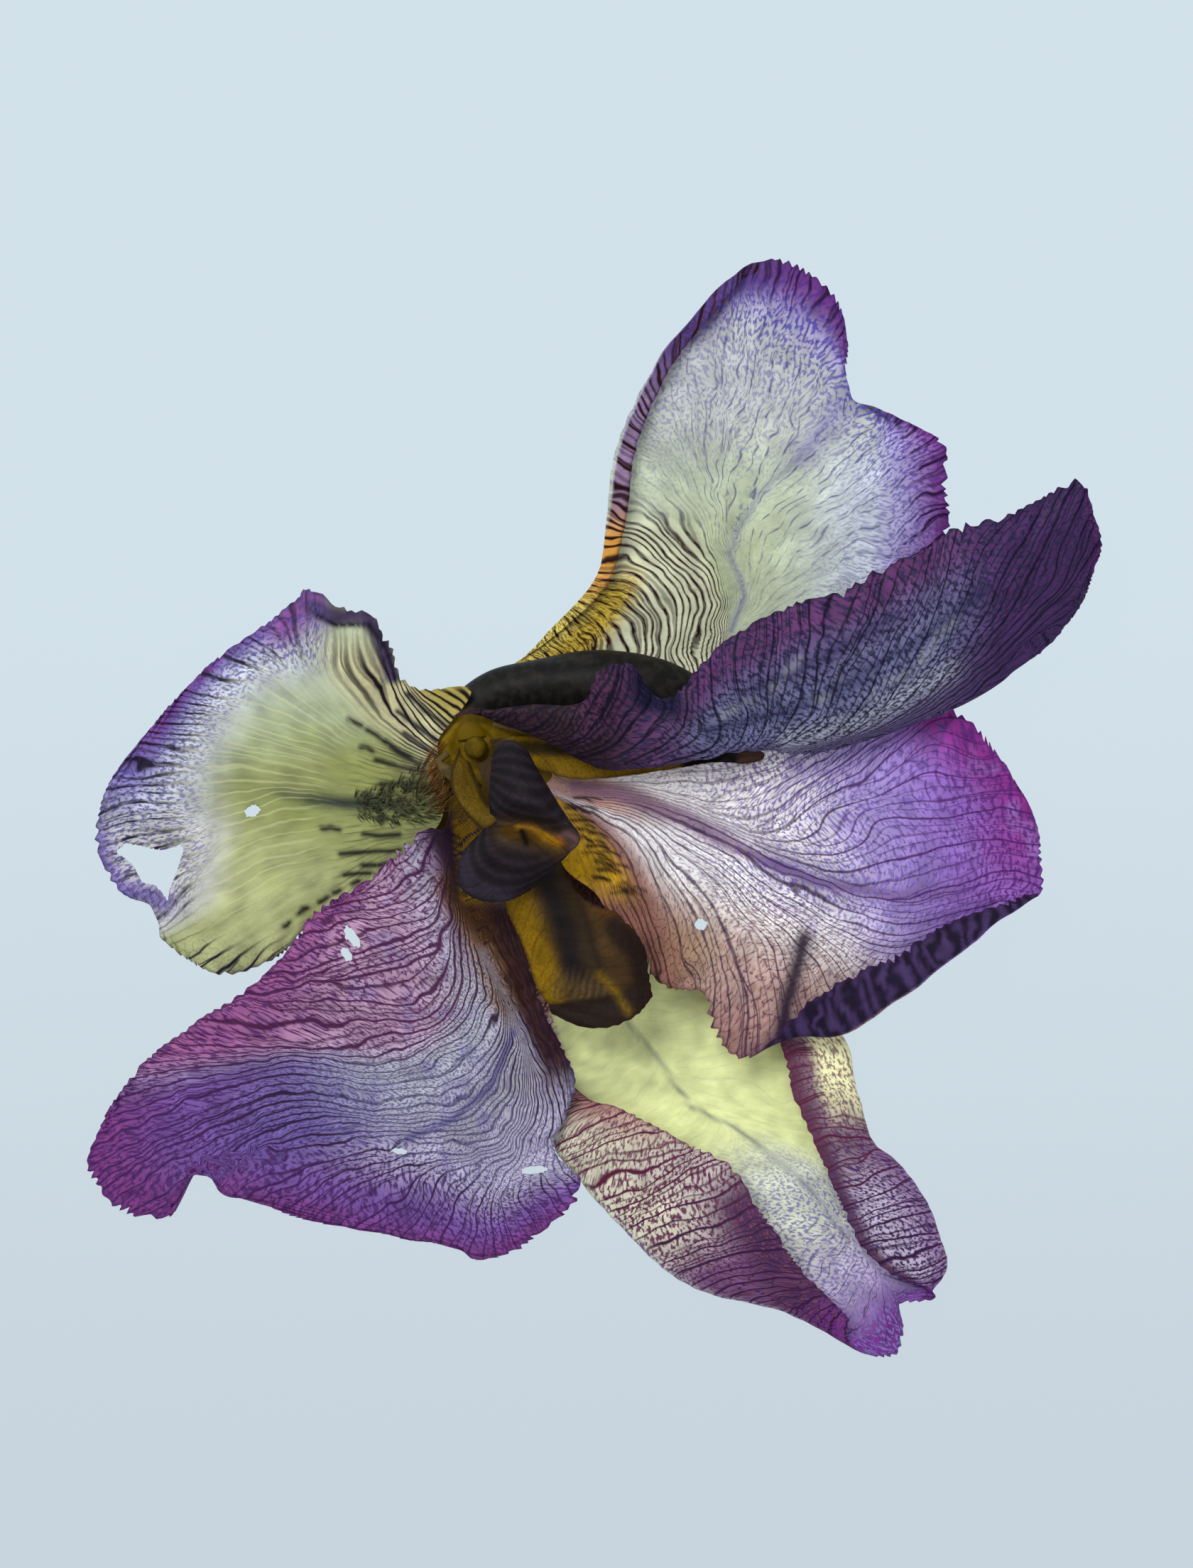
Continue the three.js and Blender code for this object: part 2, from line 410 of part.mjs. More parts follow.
// Style arm that stands up to the viewer: a stalk, and two crest lobes arched either side of its lip
const styleUpStalk = ribs([styleSeat, 180, 250, 12.4],
  [-20, 4.4, 14, -19, 3.8, 14.6, -18, 3.6, 14.8, -17, 3.6, 14.6, -16.2, 3.8, 14.2],
  [-18.8, .6, 16.4, -17.8, .4, 17, -16.6, .2, 17.2, -15.6, .4, 17, -14.8, .8, 16.6],
  [-15.4, -3.2, 18, -14.6, -2.6, 18.6, -13.8, -2, 18.8, -13, -1.2, 18.6, -12.4, -.4, 18.2]);
const styleUpCrest = ribs(null,
  [-14, 7.6, 16, -13, 9, 17, -11.4, 9.4, 17.4, -9.4, 8, 17, -8.4, 6.4, 16],
  [-14.4, 4, 18, -12.4, 4.8, 20.4, -10, 4.6, 21.4, -7.6, 3.6, 20.4, -6, 2.4, 18],
  [-14.6, .6, 18.2, -12, 1, 21.4, -9, .8, 22.6, -6.2, -.2, 21.4, -3.6, -1.4, 19],
  [-14.4, -1.6, 18, -12, -2, 19.4, -8.8, -2.6, 19.2, -5.2, -3.4, 18.8, -1.8, -4.2, 19.4],
  [-15.6, -3.2, 18.2, -13.6, -4, 21.2, -10.4, -5.2, 21.8, -7, -6.2, 20.8, -3.6, -6.4, 19],
  [-18.4, -6.4, 17.6, -16, -7.6, 20, -12.6, -8.6, 20.6, -9.2, -9.4, 19.6, -6.4, -9.2, 17.6],
  [-19.2, -10.6, 16, -17.2, -12.2, 17.2, -14.4, -13, 17.4, -11.4, -12.6, 16.8, -9, -11.4, 16]);

addPiece('fall_left', fuse(bladeGeometry(fallLeft, {
  ragged: 0.04, ruffle: 0.5, tear: { from: 6.5, to: 7.5, left: 1.5, right: 2.6 },
}), ...beardNeedles(fallLeft, {
  from: 1.3, to: 3.1, middle: 3, half: 0.75, rows: 8, perRow: 5, length: 3.6, radius: 0.35,
})), finishes.fall);
addPiece('fall_top', bladeGeometry(fallTop, { perPoint: 3, ragged: 0.03, ruffle: 0.4 }), finishes.fall);
addPiece('fall_lower', bladeGeometry(fallLower, { ragged: 0.03, ruffle: 0.3 }), finishes.fall);
addPiece('standard_over', bladeGeometry(standardOver, {
  perPoint: 3, ragged: 0.05, ruffle: 0.5,
}), finishes.standard);
addPiece('standard_right', bladeGeometry(standardRight, {
  perPoint: 3, ragged: 0.03, ruffle: 0.3,
}), finishes.standard);
addPiece('standard_left', bladeGeometry(standardLeft, {
  ragged: 0.03, ruffle: 0.7, notches: [{ at: 3.5, half: 0.8, x: 1.2, y: 5.4 }],
}), finishes.standard);
addPiece('style_arm_lower', bladeGeometry(styleLower, {
  ragged: 0.04, notches: [{ at: 2, half: 1, x: 0, y: 2.4 }],
}), finishes.styleArm);
addPiece('style_arm_right', bladeGeometry(styleRight), finishes.styleArm);
addPiece('style_arm_up', fuse(bladeGeometry(styleUpStalk), bladeGeometry(styleUpCrest)), finishes.styleArm);

// Ovary and tube, from the throat's side round under the flopped standard to the cut stem end
const ovary = rodGeometry([
  [-17, 9.6, 5.4, 3.6], [-17.4, 13, 5.2, 3.5], [-13.6, 16, 5.2, 3.5], [-8, 17, 5.4, 3.9], [0, 17.4, 6.2, 4.9],
  [8, 16.4, 6.2, 4.9], [14, 14.6, 5.6, 3.9], [19, 13.2, 5, stemRadius],
], { sides: 18, steps: 26, lobes: 0.02 });
const throatProfile = [
  [0, throat.bottom], [throat.radius * 0.7, throat.bottom], [throat.radius, throat.bottom + 2],
  [throat.radius, throat.top - 1], [throat.radius - 0.4, throat.top], [styleColumn.radius + 1, throat.top - 3],
  [styleColumn.radius, throat.top - 2.4], [styleColumn.radius, styleColumn.top], [0, styleColumn.top],
].map(([radius, height]) => new THREE.Vector2(radius, height));
const throatCup = new THREE.LatheGeometry(throatProfile, 24);
throatCup.rotateX(Math.PI / 2);
throatCup.translate(throat.x, throat.y, 0);
throatCup.deleteAttribute('normal');
throatCup.deleteAttribute('uv');
addPiece('ovary_and_tube', fuse(ovary, throatCup), finishes.ovary);

// Stamens: a thin filament from the throat's rim and a thicker anther
const stamenPaths = {
  stamen_left: [
    [-20.5, 7.6, 10.2, .5], [-21.6, 6.4, 11, .5], [-20.4, 5.2, 11.8, .9], [-18.4, 4.2, 12, 1],
    [-15.8, 2.8, 11.8, .5],
  ],
  stamen_lower: [
    [-14.2, 4.7, 10.2, .5], [-12, .6, 11.2, .5], [-10, -3, 11.5, .8], [-7, -8.4, 11.6, .8],
    [-5.6, -12, 11.5, .4],
  ],
  stamen_right: [
    [-14.1, 11.9, 10.1, .4], [-11.6, 11.2, 9.7, .4], [-7, 10.4, 9.3, .5], [-2, 9.4, 9, .5], [3, 8.4, 8.9, .3],
  ],
};
for (const [name, path] of Object.entries(stamenPaths)) {
  addPiece(name, rodGeometry(path, { steps: 12 }), finishes.stamen);
}

// Sets the origin on the table, under the middle of the flower's box
const box = new THREE.Box3().setFromObject(iris);
const middle = box.getCenter(new THREE.Vector3());
iris.position.set(-middle.x, -middle.y, -box.min.z);

export default iris;
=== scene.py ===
import bpy
import numpy as np
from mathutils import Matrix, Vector
from mathutils.kdtree import KDTree


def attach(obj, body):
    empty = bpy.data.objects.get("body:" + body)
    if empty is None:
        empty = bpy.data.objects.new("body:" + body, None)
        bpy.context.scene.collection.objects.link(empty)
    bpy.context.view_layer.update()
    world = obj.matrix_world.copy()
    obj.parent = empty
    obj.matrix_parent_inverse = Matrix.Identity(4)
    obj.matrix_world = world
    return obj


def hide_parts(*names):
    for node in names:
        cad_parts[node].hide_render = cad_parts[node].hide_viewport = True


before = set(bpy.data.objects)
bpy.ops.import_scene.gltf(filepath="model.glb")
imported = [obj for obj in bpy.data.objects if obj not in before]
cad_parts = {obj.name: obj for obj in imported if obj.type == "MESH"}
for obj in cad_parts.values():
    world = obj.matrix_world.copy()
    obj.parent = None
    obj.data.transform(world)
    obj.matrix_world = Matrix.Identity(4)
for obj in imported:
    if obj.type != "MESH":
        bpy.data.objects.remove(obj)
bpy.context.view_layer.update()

mm = 0.001
drawingShift = np.array([-0.42, 0.01, -0.01])  # from the frame the nets are drawn in to the flower's own, mm
throat = {"x": -16.5, "y": 8.5, "radius": 4.6}
columnRadius = 1.5
seatGap = 0.75  # how far outside the throat or the style column a petal or a style arm starts, mm
petalSeat = throat["radius"] + seatGap
styleSeat = columnRadius + seatGap


# Numbers and curves

def hexColour(code):
    # a painter's colour code, as the linear colour that the shaders take
    parts = np.array([int(code[k:k + 2], 16) / 255 for k in (0, 2, 4)])
    return np.where(parts <= 0.04045, parts / 12.92, ((parts + 0.055) / 1.055) ** 2.4)


def ease(value, low, high):
    part = np.clip((value - low) / (high - low), 0, 1)
    return part * part * (3 - 2 * part)


def softNoise(x, y, cell, seed):
    # smooth value noise from -1 to 1, with lumps about one cell wide
    repeat = 64
    lattice = np.random.default_rng(seed).uniform(-1, 1, (repeat, repeat))
    gx, gy = x / cell, y / cell
    i, j = np.floor(gx).astype(int), np.floor(gy).astype(int)
    s, t = gx - i, gy - j
    s, t = s * s * (3 - 2 * s), t * t * (3 - 2 * t)
    corner = [[lattice[(i + a) % repeat, (j + b) % repeat] for b in (0, 1)] for a in (0, 1)]
    low = corner[0][0] * (1 - t) + corner[0][1] * t
    high = corner[1][0] * (1 - t) + corner[1][1] * t
    return low * (1 - s) + high * s


def layeredNoise(x, y, layers, seed):
    # layers are amounts and cells; each has the next seed
    return sum(amount * softNoise(x, y, cell, seed + n) for n, (amount, cell) in enumerate(layers))


def cubicWeights(t):
    # a Catmull-Rom curve's weights of the four points round a place
    return [-t**3 / 2 + t**2 - t / 2, 1.5 * t**3 - 2.5 * t**2 + 1,
            -1.5 * t**3 + 2 * t**2 + t / 2, (t**3 - t**2) / 2]


def continued(points):
    # a row of points carried on straight by one step at both ends
    return np.concatenate([2 * points[:1] - points[1:2], points, 2 * points[-1:] - points[-2:-1]])


def curveAt(points, places):
    # the smooth curve through a row of points, at places along it
    points = np.asarray(points, float)
    places = np.asarray(places, float)
    i = np.clip(np.floor(places).astype(int), 0, len(points) - 2)
    line = continued(points)
    weights = cubicWeights(places - i)
    return sum(w.reshape(w.shape + (1,) * (points.ndim - 1)) * line[i + a] for a, w in enumerate(weights))


def netAt(net, along, across):
    # the smooth surface through a net of points, at places along and across it
    wide = continued(np.swapaxes(continued(net), 0, 1)).swapaxes(0, 1)
    i = np.clip(np.floor(along).astype(int), 0, net.shape[0] - 2)
    j = np.clip(np.floor(across).astype(int), 0, net.shape[1] - 2)
    rows, columns = cubicWeights(along - i), cubicWeights(across - j)
    return sum((rows[a] * columns[b])[..., None] * wide[i + a, j + b] for a in range(4) for b in range(4))


def readNet(seat, rows):
    # a petal's net of points, with its first rib on an arc round the throat if it has a seat
    net = np.array(rows, float).reshape(len(rows), -1, 3)
    if seat is None:
        return net
    radius, first, last, height = seat
    angle = np.radians(np.linspace(first, last, net.shape[1]))
    rib = np.stack([throat["x"] + radius * np.cos(angle), throat["y"] + radius * np.sin(angle),
                    np.full(len(angle), height)], 1)
    return np.concatenate([rib[None], net])


def lengths(points, axis):
    # running length along one way of a grid of points
    steps = np.linalg.norm(np.diff(points, axis=axis), axis=-1)
    start = np.zeros_like(np.take(steps, [0], axis))
    return np.concatenate([start, np.cumsum(steps, axis)], axis)


def normalsOf(points):
    out = np.cross(np.gradient(points, axis=0), np.gradient(points, axis=1))
    return out / np.maximum(np.linalg.norm(out, axis=-1, keepdims=True), 1e-9)


def lineDistance(x, y, line):
    # how far points lie from a line drawn through corners, and the nearest point on it
    best, footX, footY = np.full(x.shape, 1e9), x * 0, y * 0
    for (ax, ay), (bx, by) in zip(line[:-1], line[1:]):
        dx, dy = bx - ax, by - ay
        t = np.clip(((x - ax) * dx + (y - ay) * dy) / (dx * dx + dy * dy), 0, 1)
        px, py = ax + t * dx, ay + t * dy
        away = np.hypot(x - px, y - py)
        nearer = away < best
        best = np.where(nearer, away, best)
        footX, footY = np.where(nearer, px, footX), np.where(nearer, py, footY)
    return best, footX, footY


def isInside(x, y, outline):
    inside = np.zeros(x.shape, bool)
    for (ax, ay), (bx, by) in zip(outline, outline[1:] + outline[:1]):
        if ay != by:
            inside ^= ((ay > y) != (by > y)) & (x < (bx - ax) * (y - ay) / (by - ay) + ax)
    return inside


def oval(x, y, long, short, degrees):
    # a slightly uneven round hole's outline
    sides, uneven, beat = 20, 0.08, 2.3
    turn = np.radians(degrees)
    corners = []
    for n in range(sides):
        angle, wobble = n * 2 * np.pi / sides, 1 + uneven * np.sin(beat * n)
        a, b = long * wobble * np.cos(angle), short * wobble * np.sin(angle)
        corners.append((x + a * np.cos(turn) - b * np.sin(turn), y + a * np.sin(turn) + b * np.cos(turn)))
    return corners


# Meshes

def makePiece(name, points, faces, fields, material, slotName, *nodes):
    # points in mm in the drawing's frame; fields are values or colours at the points
    mesh = bpy.data.meshes.new(name)
    mesh.vertices.add(len(points))
    mesh.vertices.foreach_set("co", ((points + drawingShift) * mm).astype(np.float32).ravel())
    mesh.loops.add(faces.size)
    mesh.loops.foreach_set("vertex_index", faces.astype(np.int32).ravel())
    mesh.polygons.add(len(faces))
    mesh.polygons.foreach_set("loop_start", np.arange(0, faces.size, faces.shape[1], dtype=np.int32))
    mesh.polygons.foreach_set("use_smooth", np.ones(len(faces), bool))
    mesh.update(calc_edges=True)
    for key, values in fields.items():
        if values.ndim == 1:
            mesh.attributes.new(key, "FLOAT", "POINT").data.foreach_set("value", values.astype(np.float32))
        else:
            full = np.concatenate([values, np.ones((len(values), 1))], 1).astype(np.float32)
            mesh.attributes.new(key, "FLOAT_COLOR", "POINT").data.foreach_set("color", full.ravel())
    mesh.materials.append(material)
    piece = bpy.data.objects.new(name, mesh)
    bpy.context.scene.collection.objects.link(piece)
    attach(piece, "root")
    if nodes:
        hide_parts(*nodes)


def sheetFaces(kept):
    # quads of the two faces of a sheet and the walls round its margin and its holes
    rows, columns = kept.shape
    width, count = columns + 1, (rows + 1) * (columns + 1)
    a = np.arange(rows)[:, None] * width + np.arange(columns)[None]
    b, c, d = a + width, a + width + 1, a + 1
    quads = [np.stack([a, b, c, d], -1)[kept], np.stack([a, d, c, b], -1)[kept] + count]
    wide = np.pad(kept, 1)
    walls = [(wide[1:-1, :-2], a, b), (wide[2:, 1:-1], b, c), (wide[1:-1, 2:], c, d), (wide[:-2, 1:-1], d, a)]
    for beyond, p, q in walls:
        quads.append(np.stack([p, p + count, q + count, q], -1)[kept & ~beyond])
    return np.concatenate(quads)


def tubeMesh(centres, radii, sides, up=(0, 0, 1), lobes=0.0):
    # a closed tube round a line of centres
    centres = np.asarray(centres, float)
    ahead = np.gradient(centres, axis=0)
    ahead /= np.maximum(np.linalg.norm(ahead, axis=1, keepdims=True), 1e-9)
    out = np.cross(ahead, np.asarray(up, float))
    out /= np.maximum(np.linalg.norm(out, axis=1, keepdims=True), 1e-9)
    high = np.cross(out, ahead)
    angle = np.arange(sides) * 2 * np.pi / sides
    reach = np.asarray(radii)[:, None] * (1 + lobes * np.cos(3 * angle))[None]
    ring = centres[:, None] + reach[..., None] * (np.cos(angle)[None, :, None] * out[:, None]
                                                  + np.sin(angle)[None, :, None] * high[:, None])
    rows = len(centres)
    points = np.concatenate([ring.reshape(-1, 3), centres[:1], centres[-1:]])
    k = np.arange(sides)
    a = np.arange(rows - 1)[:, None] * sides + k[None]
    b = np.arange(rows - 1)[:, None] * sides + (k[None] + 1) % sides
    quads = np.stack([a, b, b + sides, a + sides], -1).reshape(-1, 4)
    first, last, end = rows * sides, rows * sides + 1, (rows - 1) * sides
    caps = [[first, (n + 1) % sides, n] for n in k] + [[last, end + n, end + (n + 1) % sides] for n in k]
    triangles = np.concatenate([quads[:, [0, 1, 2]], quads[:, [0, 2, 3]], np.array(caps)])
    return points, triangles[:, ::-1]


# Shaders

class Ink:
    # a socket whose sums and products add Math nodes
    def __init__(self, tree, socket=None):
        self.tree, self.socket = tree, socket

    def node(self, kind, settings=None, inputs=None, output=0):
        made = self.tree.nodes.new(kind)
        for key, value in (settings or {}).items():
            setattr(made, key, value)
        for key, value in (inputs or {}).items():
            if isinstance(value, Ink):
                self.tree.links.new(value.socket, made.inputs[key])
            else:
                made.inputs[key].default_value = value
        return Ink(self.tree, made.outputs[output] if len(made.outputs) else None)

    def maths(self, operation, *values):
        return self.node("ShaderNodeMath", {"operation": operation}, dict(enumerate(values)))

    def __add__(self, other):
        return self.maths("ADD", self, other)

    def __sub__(self, other):
        return self.maths("SUBTRACT", self, other)

    def __mul__(self, other):
        return self.maths("MULTIPLY", self, other)

    def __truediv__(self, other):
        return self.maths("DIVIDE", self, other)

    def __rsub__(self, other):
        return self.maths("SUBTRACT", other, self)

    __radd__ = __add__
    __rmul__ = __mul__

    def low(self, other):
        return self.maths("MINIMUM", self, other)

    def high(self, other):
        return self.maths("MAXIMUM", self, other)

    def floor(self):
        return self.maths("FLOOR", self)

    def size(self):
        return self.maths("ABSOLUTE", self)

    def ease(self, start, end):
        return self.node("ShaderNodeMapRange", {"interpolation_type": "SMOOTHSTEP"},
                         {"Value": self, "From Min": start, "From Max": end})

    def chance(self, seed):
        return self.node("ShaderNodeTexWhiteNoise", {"noise_dimensions": "1D"}, {"W": self + seed})

    def field(self, name, output="Fac"):
        return self.node("ShaderNodeAttribute", {"attribute_name": name}, output=output)

    def ownPlace(self):
        # a Texture Coordinate node's Object output
        return self.node("ShaderNodeTexCoord", output=3)

    def vector(self, x, y):
        return self.node("ShaderNodeCombineXYZ", None, {"X": x, "Y": y})

    def noise(self, vector, scale, detail=2.0, flat=False):
        settings = {"noise_dimensions": "2D"} if flat else None
        return self.node("ShaderNodeTexNoise", settings, {"Vector": vector, "Scale": scale, "Detail": detail})

    def mix(self, first, second, share):
        return self.node("ShaderNodeMix", {"data_type": "RGBA"}, {0: share, 6: first, 7: second}, 2)

    def finish(self, **sockets):
        # a Principled surface with these sockets
        inputs = {key.replace("_", " "): value for key, value in sockets.items()}
        shader = self.node("ShaderNodeBsdfPrincipled", None, inputs)
        self.node("ShaderNodeOutputMaterial", None, {"Surface": shader})


def newInk(name):
    material = bpy.data.materials.new(name)
    material.use_nodes = True
    material.node_tree.nodes.clear()
    return material, Ink(material.node_tree)


branching = {"widest": 0.28, "thinnest": 0.75, "uneven": 0.6, "thinning": 0.86, "solid": 0.25, "parting": 1.7}


def branchingVeins(fan, gap, levels, opens, width):
    # first veins stand at fan's whole numbers; a branch leaves one where its neighbours are opens mm apart
    solid = branching["solid"]
    home = (fan + 0.5).floor()
    thin = width.low(gap * branching["widest"])
    own = thin * (branching["thinnest"] + home.chance(0.3) * branching["uneven"])
    lines = ((fan - home).size() * gap / own).ease(1.0, solid)
    for level in range(1, levels):
        rung = fan * 2 ** (level - 1)
        cell = rung.floor()
        spacing = gap * 0.5 ** (level - 1)
        split = (spacing * (0.5 + cell.chance(3.7 * level))).ease(opens, opens * branching["parting"])
        flip = cell.maths("GREATER_THAN", cell.chance(11.3 * level + 0.5), 0.5)
        place = ((rung - cell) - flip).size()
        line = ((place - split * 0.5).size() * spacing / (thin * branching["thinning"] ** level)).ease(1.0,
                                                                                                       solid)
        lines = lines.high(line * split.ease(0.0, 0.06) * (0.5 + cell.chance(7.9 * level) * 0.5))
    return lines


petalLook = {"levels": 4, "opens": 1.5, "width": 0.2, "dash": 0.45, "dashFan": 5.0, "cells": 5.0,
             "cellLength": 0.55, "netWidth": 0.1, "relief": 0.5, "glow": 0.35}


def petalMaterial(name, look):
    material, ink = newInk(name)
    ground, dark, spot = (ink.field(key, "Color") for key in ("ground", "veinColour", "spotColour"))
    marks = ink.node("ShaderNodeSeparateColor", None, {"Color": ink.field("marks", "Color")})
    veinShare, netShare, spotShare = (Ink(ink.tree, output) for output in marks.socket.node.outputs)
    fan, gap, reach = (ink.field(key) for key in ("fan", "gap", "reach"))
    lines = branchingVeins(fan, gap, look["levels"], look["opens"], ink.field("bold") * look["width"])
    alongVein = ink.vector(fan * look["dashFan"], reach * look["dash"])
    dashes = ink.noise(alongVein, 1.0, 1.0, True).ease(0.4, 0.58)
    lines = lines * (1 - ink.field("breaks") * (1 - dashes))
    cells, cellLength = look["cells"], look["cellLength"]
    walls = ink.node("ShaderNodeTexVoronoi", {"voronoi_dimensions": "2D", "feature": "DISTANCE_TO_EDGE"},
                     {"Vector": ink.vector(fan * cells, reach * cellLength), "Scale": 1.0})
    grain = ink.noise(ink.vector(fan * cells * 1.3, reach * cellLength * 2.6), 1.0, 4.0, True)
    net = walls.ease(look["netWidth"], look["netWidth"] * 0.15) * grain.ease(0.36, 0.56)
    skin = ink.mix(ground, spot, grain.ease(0.46, 0.61) * spotShare)
    skin = ink.mix(skin, dark, net * netShare)
    skin = ink.mix(skin, dark, lines * veinShare)
    bump = ink.node("ShaderNodeBump", None, {"Strength": look["relief"], "Distance": 0.0003,
                                             "Height": ink.noise(ink.ownPlace(), 1500.0, 2.0)})
    ink.finish(Base_Color=skin, Roughness=0.55, Normal=bump, Subsurface_Weight=look["glow"],
               Subsurface_Radius=(1.0, 0.75, 0.9), Subsurface_Scale=0.0006, Specular_IOR_Level=0.08)
    return material


# Petals: the shape

# A petal's dictionary is in mm. Its seat has the first rib's radius, first and last angle and height; ribs
# are rows of x, y, z. Pulls are x, y, shift in x and in y, and radius; lifts are x, y, radius and rise. Veins
# are courses of x, y. A petal without drawn veins has a flow instead.

def teeth(place, seed, depth):
    # how far a ragged margin is bitten in, mm, at places along it in mm
    toothLength, scallopLength = 1.5, 7.0
    level = np.full_like(place, 0.5)
    beat = place / toothLength + 1.3 * softNoise(place, level, 3.5, seed)
    tooth = np.abs(2 * (beat - np.floor(beat)) - 1)
    strength = 0.15 + 0.85 * np.abs(softNoise(place, level, 3.1, seed + 1))
    scallop = 0.5 + 0.5 * softNoise(place, level, scallopLength, seed + 2)
    return depth * (tooth * strength + 0.7 * scallop - 0.45)


def petalGrid(petal, rows, columns):
    # samples a petal's net, closer together at its margins, and works out where each point is on it
    tipCrowding, sideCrowding = 0.15, 0.25
    tipPower, sidePower = 14, 7  # how quickly the teeth's pull dies away from the margin inwards
    net = readNet(petal.get("seat"), petal["ribs"])
    lastRib, lastPoint = net.shape[0] - 1, net.shape[1] - 1
    s, q = np.meshgrid(np.linspace(0, 1, rows + 1), np.linspace(-1, 1, columns + 1), indexing="ij")
    share = (1 + tipCrowding) * s - tipCrowding * s**5
    side = q * (1 + sideCrowding - sideCrowding * q * q)
    plain = netAt(net, share * lastRib, (side + 1) / 2 * lastPoint)
    downLength, crossLength = lengths(plain, 0), lengths(plain, 1)
    halfWidth = np.maximum(crossLength[:, -1:] / 2, 1)
    petalLength = downLength[-1:, :].mean()
    depth, seed = petal["teeth"], petal["seed"]
    leftPull = teeth(downLength[:, :1] + 0 * side, seed, depth)
    rightPull = teeth(downLength[:, -1:] + 0 * side, seed + 10, depth)
    pull = np.where(side < 0, leftPull, rightPull) * ease(share, 0.12, 0.3)
    tip = teeth(crossLength[-1:, :] + 0 * side, seed + 20, depth)
    across = side * (1 - pull / halfWidth * np.abs(side) ** sidePower)
    along = share * (1 - tip / petalLength * share ** tipPower)
    points = netAt(net, along * lastRib, (across + 1) / 2 * lastPoint)
    for x, y, shiftX, shiftY, radius in petal.get("pulls", ()):
        near = np.exp(-((points[..., 0] - x) ** 2 + (points[..., 1] - y) ** 2) / radius**2)
        points = points + near[..., None] * np.array([shiftX, shiftY, 0.0])
    if "spine" in petal:
        spine = curveAt(petal["spine"], share[:, 0] * lastRib)[:, None]
    else:
        spine = np.full((rows + 1, 1), lastPoint / 2)
    spineSide = spine[:, 0] / lastPoint * 2 - 1
    zero = np.array([np.interp(spineSide[i], side[i], crossLength[i]) for i in range(rows + 1)])
    down = lengths(netAt(net, share * lastRib, spine + 0 * side)[:, :1], 0) + 0 * side
    place = {
        "share": share, "side": side, "point": (side + 1) / 2 * lastPoint, "down": down,
        "off": crossLength - zero[:, None], "low": crossLength, "high": crossLength[:, -1:] - crossLength,
        "tip": petalLength * (1 - share), "x": points[..., 0], "y": points[..., 1],
    }
    place["rim"] = np.minimum(place["low"], place["high"])
    place["edge"] = np.minimum(place["rim"], place["tip"])
    return points, place


def followVeins(petal, x, y):
    # which of the petal's drawn veins each point is on, and how far along it, in points
    perVein, perWay, rounds = 5, 49, 5  # how finely the nearest place is looked for, and then made exact
    step, stride, flattest = 0.02, 0.3, 0.02
    drawn = np.array(petal["veins"], float).reshape(len(petal["veins"]), -1, 2)
    lastVein, lastPoint = drawn.shape[0] - 1, drawn.shape[1] - 1
    rows, ways = np.meshgrid(np.linspace(0, lastVein, lastVein * perVein + 1),
                             np.linspace(0, lastPoint, perWay), indexing="ij")
    tree = KDTree(rows.size)
    for index, (sx, sy) in enumerate(netAt(drawn, rows, ways).reshape(-1, 2).tolist()):
        tree.insert((sx, sy, 0), index)
    tree.balance()
    nearest = np.array([tree.find((px, py, 0))[1] for px, py in zip(x.ravel().tolist(), y.ravel().tolist())])
    vein, way = rows.ravel()[nearest].reshape(x.shape), ways.ravel()[nearest].reshape(x.shape)
    for _ in range(rounds):
        missX, missY = np.moveaxis(np.stack([x, y], -1) - netAt(drawn, vein, way), -1, 0)
        across = netAt(drawn, vein + step, way) - netAt(drawn, vein - step, way)
        ahead = netAt(drawn, vein, way + step) - netAt(drawn, vein, way - step)
        acrossX, acrossY = np.moveaxis(across, -1, 0) / step / 2
        aheadX, aheadY = np.moveaxis(ahead, -1, 0) / step / 2
        turn = acrossX * aheadY - acrossY * aheadX
        turn = np.where(np.abs(turn) < flattest, np.where(turn < 0, -flattest, flattest), turn)
        veinStep = np.clip((missX * aheadY - missY * aheadX) / turn, -stride, stride)
        wayStep = np.clip((acrossX * missY - acrossY * missX) / turn, -stride, stride)
        vein = np.clip(vein + veinStep, -0.9, lastVein + 0.9)
        way = np.clip(way + wayStep, -0.5, lastPoint + 0.6)
    long = lengths(drawn, 1)[:, -1]
    fan = curveAt(petal["counts"], vein) * petal.get("density", 1.0)
    return vein, way / lastPoint, fan, way / lastPoint * np.interp(vein, range(len(long)), long)


def flowFromSpine(petal, place):
    # veins that leave the spine and bend out to the margins
    flow, off = petal["flow"], place["off"]
    otherSide = 37.0  # keeps the two sides' veins from mirroring each other
    fan = (place["down"] - flow["turn"] * (np.abs(off) + 0.05) ** flow["power"]) / flow["spacing"]
    return fan + np.where(off < 0, 0.0, otherSide), np.abs(off) + 0.7 * place["down"]


def gapOf(fan, points):
    # the way between whole numbers of fan, mm
    seam, seamSlope = 8, 0.3  # a step of fan this large is where two fans meet
    du, dv = np.gradient(points, axis=0), np.gradient(points, axis=1)
    fu, fv = (np.gradient(fan, axis=axis) for axis in (0, 1))
    fu, fv = (np.where(np.abs(f) > seam, seamSlope, f) for f in (fu, fv))
    uu, uv, vv = (du * du).sum(-1), (du * dv).sum(-1), (dv * dv).sum(-1)
    slope = (fu * fu * vv - 2 * fu * fv * uv + fv * fv * uu) / np.maximum(uu * vv - uv * uv, 1e-9)
    return np.clip(1 / np.sqrt(np.maximum(slope, 1e-6)), 0.05, 12)


